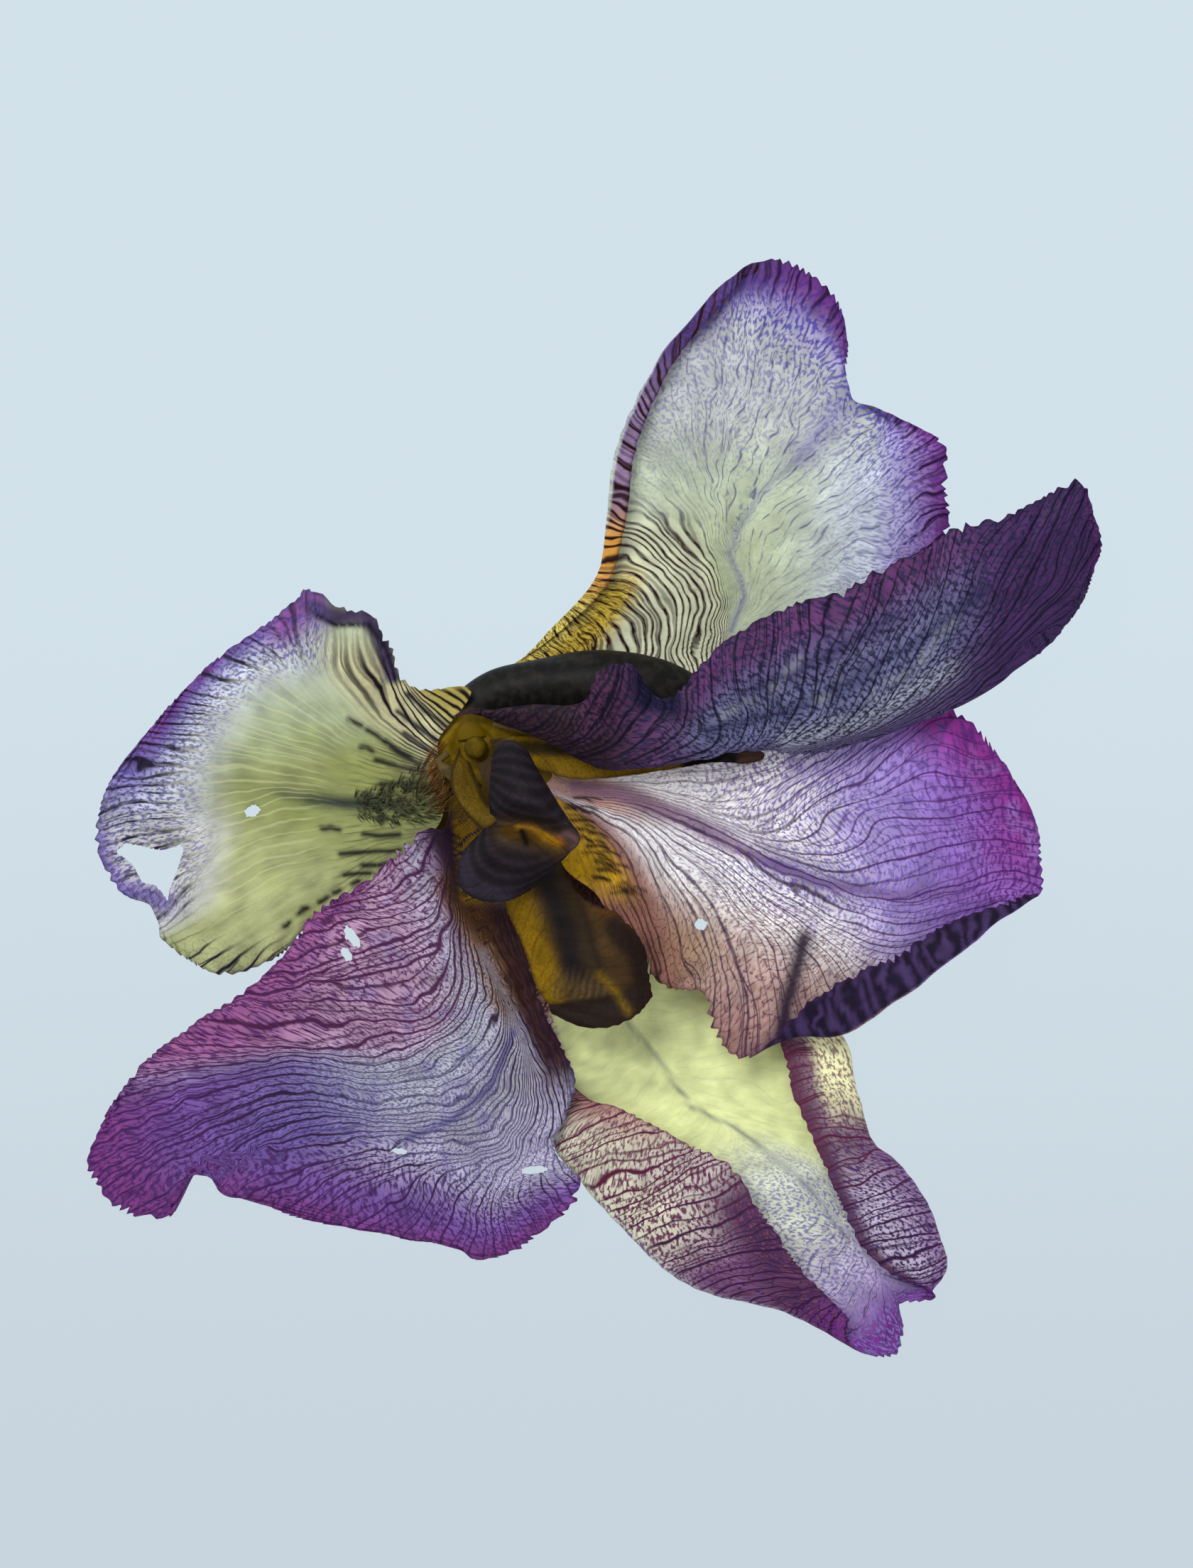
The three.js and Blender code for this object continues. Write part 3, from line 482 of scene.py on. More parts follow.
def wavyFanOf(petal, x, y, fan, gap, reach):
    # the count of veins, with the small bends that real ones have
    seed = petal["seed"]
    bends = [(0.5, 6.0), (petal.get("drift", 0.14), 2.2), (0.08, 0.9)]
    drift = layeredNoise(x, y, bends, seed + 40) / np.clip(gap, 0.4, 12)
    wavyFan = fan + drift + 0.3 * softNoise(fan * 0.7, reach * 0.14, 1.0, seed + 43)
    return wavyFan + 0.6 * softNoise(fan * 0.3, reach * 0.06, 1.0, seed + 44)


def cutHoles(petal, x, y, points):
    # leaves out the quads within the holes and draws the points by a hole onto its outline
    snap = 0.12
    kept = np.ones((x.shape[0] - 1, x.shape[1] - 1), bool)
    middleX, middleY = ((v[:-1, :-1] + v[1:, 1:] + v[:-1, 1:] + v[1:, :-1]) / 4 for v in (x, y))
    for outline in petal.get("holes", ()):
        kept &= ~isInside(middleX, middleY, outline)
        atX, atY = points[..., 0].copy(), points[..., 1].copy()
        away, footX, footY = lineDistance(atX, atY, outline + outline[:1])
        drawn = isInside(atX, atY, outline) | (away < snap)
        points[..., 0], points[..., 1] = np.where(drawn, footX, atX), np.where(drawn, footY, atY)
    return kept


# Petals: the colours

class Paint:
    # a petal's colours, laid on in washes, and how strongly its marks show
    def __init__(self, place, ground, vein, spot):
        self.place = place
        plain = np.zeros(place["x"].shape + (3,))
        codes = {"ground": ground, "vein": vein, "spot": spot}
        self.colours = {layer: plain + hexColour(code) for layer, code in codes.items()}
        self.lines = self.net = self.spots = self.breaks = 0.0
        self.bold = 1.0

    def wash(self, layer, code, share):
        colour = self.colours[layer]
        self.colours[layer] = colour + (hexColour(code) - colour) * np.clip(share, 0, 1)[..., None]

    def ground(self, code, share):
        self.wash("ground", code, share)

    def vein(self, code, share):
        self.wash("vein", code, share)

    def spot(self, code, share):
        self.wash("spot", code, share)

    def groundAndSpot(self, code, share):
        self.ground(code, share)
        self.spot(code, share)

    def near(self, x, y, radius, stretch=1.0, degrees=0.0):
        # 1 at a spot, fading out round it; stretch makes it an oval
        turn = np.radians(degrees)
        dx, dy = self.place["x"] - x, self.place["y"] - y
        a, b = dx * np.cos(turn) + dy * np.sin(turn), dy * np.cos(turn) - dx * np.sin(turn)
        return np.exp(-((a / stretch) ** 2 + b**2) / radius**2)

    def stroke(self, line, width, power=2):
        # 1 along a line, fading out beside it, more abruptly with a higher power
        away, _, _ = lineDistance(self.place["x"], self.place["y"], line)
        return np.exp(-(away / width) ** power)


tissue = {"thick": 0.3, "rimThinner": 0.16, "thinWithin": 1.5, "clear": 0.04, "ruffleWithin": 4.0,
          "dry": 0.6, "dryWithin": 0.4}


def makePetal(name, petal, paintIt, slotName, *nodes, rows=210, columns=158):
    points, place = petalGrid(petal, rows, columns)
    x, y, share, edge = place["x"], place["y"], place["share"], place["edge"]
    seed = petal["seed"]
    if "veins" in petal:
        place["vein"], place["way"], fan, reach = followVeins(petal, x, y)
    else:
        fan, reach = flowFromSpine(petal, place)
    gap = gapOf(fan, points)
    wavyFan = wavyFanOf(petal, x, y, fan, gap, reach)
    rim = np.exp(-edge / tissue["ruffleWithin"]) * ease(share, 0.15, 0.4)
    lift = petal["ruffle"] * rim * (np.sin(place["down"] * 0.85 + 2.2 * softNoise(x, y, 6.0, seed + 30))
                                    + 0.6 * np.sin(place["down"] * 2.1 + place["off"]))
    pleat = petal["pleat"] * np.sin(2 * np.pi * wavyFan) * np.clip(gap / 4, 0, 1)
    crumple = petal["crumple"] * layeredNoise(x, y, [(1.0, 5.0), (0.5, 2.1)], seed + 31)
    points = points + normalsOf(points) * ((pleat + crumple) * ease(share, 0.05, 0.2))[..., None]
    points[..., 2] += lift
    for atX, atY, radius, rise in petal.get("lifts", ()):
        points[..., 2] += rise * np.exp(-((x - atX) ** 2 + (y - atY) ** 2) / radius**2)
    kept = cutHoles(petal, x, y, points)
    thick = tissue["thick"] - tissue["rimThinner"] * np.exp(-edge / tissue["thinWithin"])
    points[..., 2] = np.maximum(points[..., 2], thick / 2 + tissue["clear"])
    half = normalsOf(points) * thick[..., None] / 2
    allPoints = np.concatenate([(points + half).reshape(-1, 3), (points - half).reshape(-1, 3)])
    paint = paintIt(place)
    colours = paint.colours
    # uneven brightness over the petal: partly the tissue's own mottled tone, partly painted light and shade
    # of its folds, streaked along the veins
    mottleAndFoldShade = 1 + layeredNoise(x, y, [(0.12, 3.3), (0.08, 1.2)], seed + 50)
    mottleAndFoldShade = mottleAndFoldShade + 0.14 * softNoise(fan * 2.0, reach, 2.0, seed + 52)
    mottleAndFoldShade = mottleAndFoldShade + 0.1 * softNoise(fan * 5.0, reach * 0.5, 1.0, seed + 53)
    dry = tissue["dry"] * np.exp(-(edge / tissue["dryWithin"]) ** 2) * ease(share, 0.2, 0.35)
    ground = colours["ground"] + (colours["vein"] - colours["ground"]) * dry[..., None]
    marks = np.stack([np.clip(amount + 0 * x, 0, 1) for amount in (paint.lines, paint.net, paint.spots)], -1)
    values = {"fan": wavyFan, "gap": gap, "reach": reach, "breaks": np.clip(paint.breaks, 0, 1) + 0 * x,
              "bold": paint.bold + 0 * x}
    fields = {key: np.tile(value.ravel(), 2) for key, value in values.items()}
    tints = {"ground": ground * mottleAndFoldShade[..., None], "veinColour": colours["vein"],
             "spotColour": colours["spot"],
             "marks": marks}
    for key, value in tints.items():
        fields[key] = np.tile(value.reshape(-1, 3), (2, 1))
    material = petalMaterial(name + "_tissue", dict(petalLook, **petal.get("look", {})))
    makePiece(name, allPoints, sheetFaces(kept), fields, material, slotName, *nodes)
    print("petal", name, len(allPoints), "points")


# Left fall

fallLeft = {
    "seat": (petalSeat, 216, 164, 8.4), "seed": 11, "teeth": 1.1, "ruffle": 0.5, "pleat": 0.08,
    "crumple": 0.12,
    "ribs": [
        [-21.5, -2, 8.6, -23, 0, 8.2, -24.2, 2.4, 8, -24.8, 5, 7.8,
         -24.6, 8, 8, -22.6, 12.4, 8.4, -17.2, 16.6, 10.2],
        [-27, -6.5, 8, -27.8, -3.4, 7.6, -28.6, 0, 7, -29, 3.2, 6.6,
         -28.8, 7, 6.8, -27.6, 11.5, 7.6, -25.4, 17.2, 9],
        [-34, -12.2, 6, -35, -7.6, 6.4, -35.4, -2.8, 6, -35.8, 2, 5.4,
         -35.4, 8, 5.8, -33.5, 15, 6.6, -28.6, 23, 8.4],
        [-41, -16, 5, -42.6, -10.5, 5.4, -43.2, -4, 5.2, -43.6, 2.4, 4.6,
         -43, 10, 4.6, -41, 19, 5, -38.6, 29.5, 6.4],
        [-47, -21.6, 3.6, -50, -14, 4.6, -51, -6, 4.8, -51.4, 2, 4.2,
         -50.6, 9.5, 4, -49, 17.5, 4, -46.5, 25.5, 3.6],
        [-52.5, -23.2, 2.4, -55.4, -16, 3.4, -56.6, -8, 4.2, -57.6, .4, 4.2,
         -57.2, 8, 3.4, -56, 14.2, 3, -53, 21, 2.4],
        [-57.5, -21, 1.4, -60.6, -16.4, 2.2, -61.6, -9.4, 2.8, -63, -1.8, 3,
         -62.8, 5, 2.2, -61.4, 9.8, 1.6, -59.4, 14.6, 1.2],
        [-61.4, -18, .6, -61, -14.4, .8, -66.8, -11.6, .6, -70.2, -5, .5,
         -69.6, 0, .5, -67.6, 4.4, .6, -64.2, 9, .8],
    ],
    "pulls": [(-38.9, 29.3, -1.6, 0.9, 1.6), (-31.6, 26.6, 1.0, 0.9, 2.4), (-36, 28.0, 0, -0.7, 1.6),
              (-27.4, 20, -0.9, 0.6, 2.5), (-31, -9.6, 0.6, -1.3, 4), (-38, -14, 0.6, -1.3, 4),
              (-43, -19.5, 0.9, -1.2, 3.5)],
    "lifts": [(-66, -11, 3.5, 1.2), (-69, -6, 3, 1.0)],
    "veins": [
        [-14.6, 13.8, -15, 15.4, -15.2, 16.5, -15.3, 17.1, -15.5, 17.6],
        [-16.5, 11.9, -17.3, 13.4, -18, 15, -19.2, 16.1, -20.3, 17.1],
        [-18, 10.4, -19.2, 11.9, -21.1, 14.2, -23.4, 16.1, -25.3, 17.6],
        [-19.2, 8.8, -20.7, 10.4, -23, 13, -25.7, 16.1, -27.6, 19.6],
        [-19.9, 7.7, -22.2, 9.2, -25.7, 12.7, -29.1, 18, -30.3, 24.9],
        [-20.3, 6.9, -24.5, 8.8, -30.3, 13.4, -34.9, 19.2, -35.6, 25],
        [-20.7, 6.2, -25.7, 7.3, -33.3, 12.7, -39.5, 20.3, -40.6, 30.7],
        [-21.1, 5.4, -27.6, 6.9, -37.2, 11.9, -46.7, 18.4, -53.2, 22.6],
        [-21.1, 4.6, -29.5, 5.8, -40.2, 10.4, -50.9, 14.6, -59, 16.5],
        [-21.5, 3.5, -30.3, 3.9, -42.5, 6.9, -54, 9.2, -63.9, 9.6],
        [-21.9, 2, -31, 1.6, -43.3, 3.5, -56.3, 4.2, -68.2, 3.5],
        [-22.2, 0.8, -31.4, 0, -44.1, 2, -56.3, -0.7, -70.1, -2.6],
        [-22.6, -0.7, -31, -1.5, -43.3, -1.5, -55.1, -4.9, -69.3, -9.5],
        [-23, -1.9, -31, -3.8, -44.1, -5.7, -55.1, -10.3, -60.5, -14.9],
        [-23.8, -3.4, -31.8, -6.1, -44.1, -9.5, -54, -15.3, -61.7, -19.1],
        [-24.5, -4.2, -31.8, -8.4, -42.5, -13.4, -50.9, -19.1, -55.9, -21.8],
        [-25.3, -4.6, -31, -9.1, -39.1, -14.5, -46.7, -19.5, -51.7, -23.7],
        [-25.7, -4.9, -30.3, -9.5, -36.4, -15.3, -41.4, -19.5, -45.6, -22.5],
    ],
    "counts": [0, 3, 6, 9, 11.5, 14, 17, 20, 23, 26, 29, 31, 33.5, 36, 39, 42, 44, 46],
    "holes": [
        oval(-47.9, -0.4, 1.1, 0.8, 20),
        [(-67.2, -6.2), (-65.9, -4.9), (-64.2, -5.2), (-60.6, -5.9), (-58, -5.2), (-57.5, -5.9),
         (-58.4, -8.8), (-59.5, -11.5), (-59.8, -13.2), (-61.5, -10.9), (-63.6, -10.4), (-64.6, -8.2)],
    ],
    "dashes": [
        [(-26.5, 10.6), (-21.8, 7.2)], [(-30.5, 6.8), (-22.9, 5.0)], [(-29.8, 3.4), (-23.6, 3.0)],
        [(-34.3, 12.6), (-32.5, 11.7)], [(-29.2, 9.5), (-24.5, 6.1)], [(-38.1, -2.9), (-35.6, -3.0)],
        [(-32.3, -3.6), (-27.2, -3.7)], [(-35.6, -6.4), (-27.2, -5.9)], [(-35, -9.4), (-31.2, -9.1)],
        [(-32.4, -8.0), (-27.6, -7.4)], [(-32.6, 8.6), (-31, 8.0)], [(-27.5, 13.6), (-22, 9.4)],
        [(-26, 16), (-20.6, 11.4)], [(-30.3, -1.4), (-28.9, -1.5)], [(-36.4, -11.8), (-35.7, -11.5)],
        [(-38.4, -13.2), (-37.3, -12.5)], [(-41.4, -14.8), (-40.2, -14.0)], [(-43.4, -16.6), (-42.6, -16.0)],
        [(-33.8, -10.6), (-33, -10.2)], [(-31.7, 11.0), (-29.2, 9.3)], [(-28.4, 8.6), (-25.9, 7.2)],
    ],
    "look": {"width": 0.22, "opens": 1.3, "dash": 0.3},
}


def paintFallLeft(place):
    x, y, vein, way = place["x"], place["y"], place["vein"], place["way"]
    paint = Paint(place, "858b58", "1d172b", "5a5096")
    # the green middle and the paler upper part, lower part and tip
    paint.ground("a6b196", ease(y - 0.2 * x, 12, 26))
    paint.ground("a6ab7a", ease(y + 0.25 * (x + 50), 2, -12))
    paint.ground("9a9f80", ease(place["tip"], 22, 8) * ease(y, -12, -4))
    paint.ground("8f9a50", 0.35 * ease(softNoise(x, y, 5, 93), 0, 0.9) * ease(way, 0.7, 0.5))
    paint.ground("8c9150", 0.7 * np.exp(-((vein - 9.5) / 3) ** 2) * ease(way, 0.5, 0.2))
    # the rim, violet at its outside
    across = ease(vein, 5.2, 6.6) * ease(vein, 14.2, 13)
    paint.ground("c6cad8", 0.9 * ease(way, 0.6, 0.86) * across)
    paint.ground("7566a4", ease(way, 0.8, 0.94) * ease(vein, 5, 6) * ease(vein, 11.5, 9.5))
    paint.ground("7c4a94", ease(way, 0.9, 0.97) * ease(vein, 5, 6) * ease(vein, 10, 8.5))
    purple = paint.stroke([(-62.3, 13.3), (-59.5, 17), (-55, 20.2)], 2.6)
    paint.ground("7a3585", purple * ease(way, 0.86, 0.95))
    paint.ground("84508e", paint.stroke([(-43.5, 25.5), (-40.6, 30)], 3.0))
    paint.ground("b9b9b2", 0.9 * ease(vein, 10.3, 11.6) * ease(way, 0.6, 0.82) * ease(vein, 14.2, 13))
    strip = paint.stroke([(-69.8, -4), (-69, -8), (-66.4, -11.4), (-60.5, -13)], 1.9)
    paint.ground("8a7cb0", strip)
    # the striped base, the upper fold darkened by painted shade and the stain down the middle
    haft = ease(vein, 6.4, 4.4) * ease(way, 1.1, 0.75) + ease(way, 0.26, 0.1) * ease(vein, 9, 7)
    paint.ground("bcb78c", haft)
    paint.ground("a89a4a", ease(vein, 3.4, 1.6))
    paint.vein("140c10", haft)
    # the folded-over rim: its purple darkened by painted shade of the doubled tissue
    folded = [(-39.0, 28.0), (-36.4, 26.9), (-32, 26.9), (-29.9, 24.2), (-28.2, 18.6)]
    paint.ground("423650", paint.stroke(folded, 1.3, 4))
    # a painted shadow line along the lower edge of the fold
    shadowUnderFold = [(-38.6, 26.9), (-36, 25.7), (-31.4, 25.7), (-29.2, 22.6), (-27.6, 18)]
    paint.ground("17101c", paint.stroke(shadowUnderFold, 0.4))
    stain = paint.stroke([(-44.3, 2.3), (-40.6, 1.4), (-36.1, 0.8), (-30.3, 0.5), (-24.9, 0.1)], 1.1)
    stain = stain * ease(x, -50, -36)
    paint.ground("27312f", 0.95 * stain)
    for n, ((startX, startY), (endX, endY)) in enumerate(fallLeft["dashes"]):
        bend = ((startX + endX) / 2, (startY + endY) / 2 + 0.25 * np.sin(4 * n))
        width = 0.42 + 0.12 * softNoise(x, y, 0.8, 60 + n)
        paint.ground("120e12", 0.97 * paint.stroke([(startX, startY), bend, (endX, endY)], width))
    paint.ground("5a5a34", paint.near(-24, 2.0, 4.4))
    middle = ease(way, 0.3, 0.45) * ease(way, 0.86, 0.66) * ease(vein, 4.5, 7) * ease(vein, 16, 14)
    paint.vein("d2d4a2", middle)
    rim = ease(way, 0.7, 0.84) * across
    lowRim = ease(way, 0.62, 0.85) * ease(vein, 13.5, 15)
    near = ease(way, 0.44, 0.3) * (0.45 + 0.5 * ease(vein, 8, 6))
    paint.lines = np.maximum.reduce([haft, near, rim, lowRim, 0.3 * middle])
    paint.lines *= 1 - 0.6 * strip
    paint.breaks = np.maximum(0.9 * ease(vein, 5, 7) * ease(way, 0.6, 0.3), 0.4 * rim)
    paint.net = 0.6 * rim + 0.5 * lowRim
    paint.spots = 0.8 * ease(way, 0.66, 0.8) * ease(vein, 5, 6) * ease(vein, 14, 12) + 0.15 * haft
    paint.bold = 1 + 2.8 * haft + 0.5 * ease(way, 0.45, 0.3) + 0.6 * rim
    return paint


makePetal("petal_fall_left", fallLeft, paintFallLeft, "fall_petal", "fall_left")


# Top fall

fallTop = {
    "seat": (petalSeat, 80, 24, 1.5), "seed": 21, "teeth": 1.2, "drift": 0.5, "ruffle": 0.3, "pleat": 0.08,
    "crumple": 0.08,
    "ribs": [
        [-13.8, 18.4, .42, -12, 17.6, .37, -10, 16.6, .36, -8, 15.4, .36,
         -6.6, 14.2, .36, -5, 12.6, .4, -3.6, 10.6, .5],
        [-6, 23.8, 1.4, -6.4, 24.2, .9, -1, 21.8, .4, 2.4, 19.6, .36,
         5, 17.4, .36, 7.5, 15, .36, 10, 12.4, .4],
        [1.8, 31.4, 4.2, .6, 32.2, 2.9, 7.5, 29.6, 1.8, 14.5, 24, .6,
         18.4, 20.6, .5, 21.4, 17.6, .5, 24.4, 14.2, .7],
        [4.4, 40.4, 6.2, 2, 40.8, 4.4, 7.5, 38.6, 3, 19.4, 32, .8,
         25, 27, 1.8, 30, 22.6, 1.6, 34.5, 18.6, .8],
        [5.6, 49.2, 6.4, 3, 48.6, 4.4, 9.5, 46.4, 3.2, 20.4, 40, 1,
         29, 35.6, 2.4, 37, 30.4, 2.2, 44, 25.4, .8],
        [8.4, 57, 6.2, 5.8, 56.2, 4.4, 12.5, 53.4, 3.4, 22, 47.6, 1.6,
         32, 43, 2.8, 41.5, 38.6, 2.4, 49.4, 35, 1],
        [12.2, 64, 5.8, 9.8, 63.4, 4.2, 15.6, 60.2, 3.5, 23.4, 55, 2.2,
         32.4, 50.6, 2.8, 41.6, 47, 2.5, 49.6, 44.6, 1.4],
        [16.8, 69.4, 5.2, 14.6, 69.4, 3.8, 19, 66, 3.3, 25, 62, 2.4,
         31.6, 58, 2.6, 38.4, 55, 2.2, 47.4, 52.2, 1.6],
        [20.6, 74.2, 4, 18.6, 73.8, 3, 22, 71.4, 2.8, 26.4, 68.8, 2.4,
         30.6, 66.2, 2.4, 34, 62.6, 2, 36.6, 58.2, 1.6],
        [21.2, 76, 2.6, 22.6, 76.7, 2.4, 25.4, 77.2, 2.2, 28, 76.6, 2.2,
         31, 74.8, 2, 34.4, 71.4, 1.8, 35.8, 65.6, 1.6],
    ],
    "pulls": [(37.5, 57.5, -1.2, -0.6, 2.2), (48.5, 50.5, 0.7, 0.4, 3)],
    "veins": [
        [-5, 20.9, -5.7, 21.9, -6.4, 22.7, -6.9, 23.3, -7.2, 23.8],
        [2.8, 21.6, 2.1, 23.7, 0.9, 25.5, -0.7, 27.4, -2.3, 29],
        [7.4, 21.4, 7.8, 24.6, 6.4, 27.8, 3.7, 30.6, 0.2, 31.5],
        [12, 21.9, 12.2, 26.9, 10.6, 31.5, 6.9, 34.7, 2.1, 36.1],
        [14.2, 22.6, 14.9, 28.3, 12.4, 33.8, 7.4, 37.9, 2.8, 39.8],
        [16.1, 23.5, 17, 29.2, 14.2, 36.1, 8.7, 41.1, 2.8, 44.6],
        [17.2, 24.2, 18.1, 30.6, 15.2, 38.9, 9.2, 46.7, 3.9, 50.8],
        [18.1, 24.6, 18.6, 31.5, 15.6, 40.7, 11, 51.2, 6.4, 58.4],
        [18.7, 25.1, 19.1, 32.4, 16.3, 42.1, 13.8, 55.8, 11.9, 65.9],
        [19.1, 25.3, 19.4, 32.9, 17, 43.4, 18.4, 58.1, 21.1, 75.4],
        [19.4, 25.4, 19.8, 33.3, 17.9, 43.4, 22.5, 58.1, 27.1, 77],
        [19.5, 25.5, 21.1, 30.1, 20, 38.4, 27.1, 53.1, 34.5, 71.7],
        [19.7, 25.5, 21.2, 29.7, 20.2, 39.3, 28.3, 48.6, 36.2, 58.6],
        [20, 25.5, 21.8, 30.1, 23.4, 37.5, 31.2, 45.7, 40.2, 54.9],
        [20.2, 25.4, 22.7, 30.1, 26.6, 37.5, 35.4, 44.8, 45.5, 53.1],
        [20.4, 25.3, 23.7, 29.9, 29.4, 36.1, 38.6, 42.1, 49.6, 48.5],
        [20.7, 25.2, 24.8, 29.2, 32.2, 34.3, 40.9, 38.4, 50.1, 42.5],
        [20.9, 25.1, 26.2, 28.5, 34, 32, 42.3, 34.7, 48.2, 37.9],
        [21.1, 25, 27.1, 27.8, 34.9, 30.1, 41.8, 32, 47.8, 33.8],
        [21.1, 24.8, 27.1, 26.9, 34, 28.3, 40.9, 29.2, 47.8, 29.2],
    ],
    "counts": [0, 5.5, 10, 14.5, 18.5, 22, 25, 27.5, 29.5, 31.5, 34, 37, 39, 41, 43, 45, 47, 49, 50.5, 52],
    "density": 0.8,
    "look": {"opens": 1.2, "cells": 5.2, "cellLength": 0.7, "dash": 0.6},
}


def paintFallTop(place):
    x, y, vein, low = place["x"], place["y"], place["vein"], place["low"]
    paint = Paint(place, "bcc7ac", "2a2150", "5048a0")
    paint.ground("c8d0d8", ease(vein, 11.5, 14) * ease(x, 24, 40))
    paint.ground("b0bb90", paint.near(16, 31, 8, 1.6, 65))
    paint.ground("b6bab6", ease(y, 44, 60))
    roll = ease(low, 2.9, 2.3)
    haft = ease(vein, 6.4, 4.6) * ease(y, 46, 36)
    paint.ground("cdd0b2", np.maximum(haft, ease(vein, 10, 7) * ease(y, 30, 24)))
    yellow = ease(low, 10, 6.5) * ease(y, 36, 30)
    paint.ground("d2b945", yellow)
    paint.ground("dcd48c", paint.stroke([(-14, 18), (-8, 22.6), (-2, 28.6)], 1.5))
    # the margins, bluish and then purple
    tipRim, rightRim = place["tip"], place["high"] + 30 * ease(x, 42, 30)
    margin = np.minimum(tipRim, rightRim)
    paint.ground("a596cc", 0.8 * ease(margin, 15, 5))
    paint.ground("8c66aa", 0.9 * ease(margin, 8, 2.5))
    paint.ground("7c3a8a", 0.95 * ease(margin, 3.4, 0.5))
    paint.ground("5c2c70", 0.7 * ease(tipRim, 9, 2))
    paint.spot("583088", ease(margin, 7, 2))
    paint.ground("5e3f78", ease(low, 9, 3) * ease(y, 60, 70))
    # the rolled left margin, from purple over orange to yellow at its base
    paint.ground("8e7690", roll * ease(y, 34, 40))
    paint.ground("4e3460", roll * ease(y, 54, 66))
    paint.ground("d49a44", roll * ease(y, 44, 37) * ease(y, 26, 32))
    paint.ground("dccb66", roll * ease(y, 32, 27))
    stripe = np.maximum(ease(vein, 7.6, 5.4) * ease(y, 48, 38), ease(vein, 11, 8) * ease(y, 33, 28))
    paint.vein("24080e", np.maximum(stripe, roll))
    paint.spot("541e0e", yellow)
    # the midrib crease with painted shade along it, and the notch between the tip and the right lobe
    shadedCrease = [(19.4, 25), (21.2, 29.7), (20.8, 32), (19.1, 35.7), (20.5, 39.4), (23.7, 44.4), (28.3, 48.6),
              (34.3, 56.4)]
    # painted shade: a dark line in the crease and broad grey shading either side of it
    paint.ground("4f5678", (0.45 + 0.5 * ease(y, 40, 28)) * paint.stroke(shadedCrease, 0.28))
    paint.ground("9aa2a4", 0.4 * paint.stroke(shadedCrease, 1.0))
    notch = paint.stroke([(36.6, 59.6), (38.0, 56.6), (41.6, 54.6), (44.6, 53.6)], 0.9)
    paint.ground("1d1428", 0.95 * notch * ease(softNoise(x, y, 0.7, 85), -0.9, 0.2))
    paint.ground("7d74a6", 0.45 * paint.stroke([(30, 50), (34, 55), (36.6, 60)], 2.6))
    edgeMarks = np.maximum(ease(tipRim, 26, 6), ease(place["high"], 22, 4) * ease(x, 24, 38))
    stippled = ease(vein, 7, 9) * ease(y, 32, 42)
    paint.vein("3c3278", (1 - stripe) * (1 - roll))
    paint.vein("2c123c", ease(margin, 8, 3) * (1 - roll))
    paint.lines = np.maximum.reduce([stripe, roll, 0.35 + 0.65 * ease(margin, 12, 3), 0.35 + 0.35 * stippled])
    paint.breaks = np.maximum((1 - 0.8 * stripe) * (1 - roll) * ease(margin, 1.5, 7), 0.75 * yellow)
    paint.net = 0.25 * edgeMarks
    paint.spots = 0.12 + 0.3 * ease(y, 40, 56) + 0.5 * edgeMarks - 0.3 * haft + 0.9 * yellow
    uneven = 0.65 + 0.5 * softNoise(x, y, 1.8, 83)
    paint.bold = 1 + 3.4 * stripe * uneven + 1.2 * roll + 0.7 * ease(margin, 8, 2)
    return paint


makePetal("petal_fall_top", fallTop, paintFallTop, "fall_petal", "fall_top")


# Lower right fall

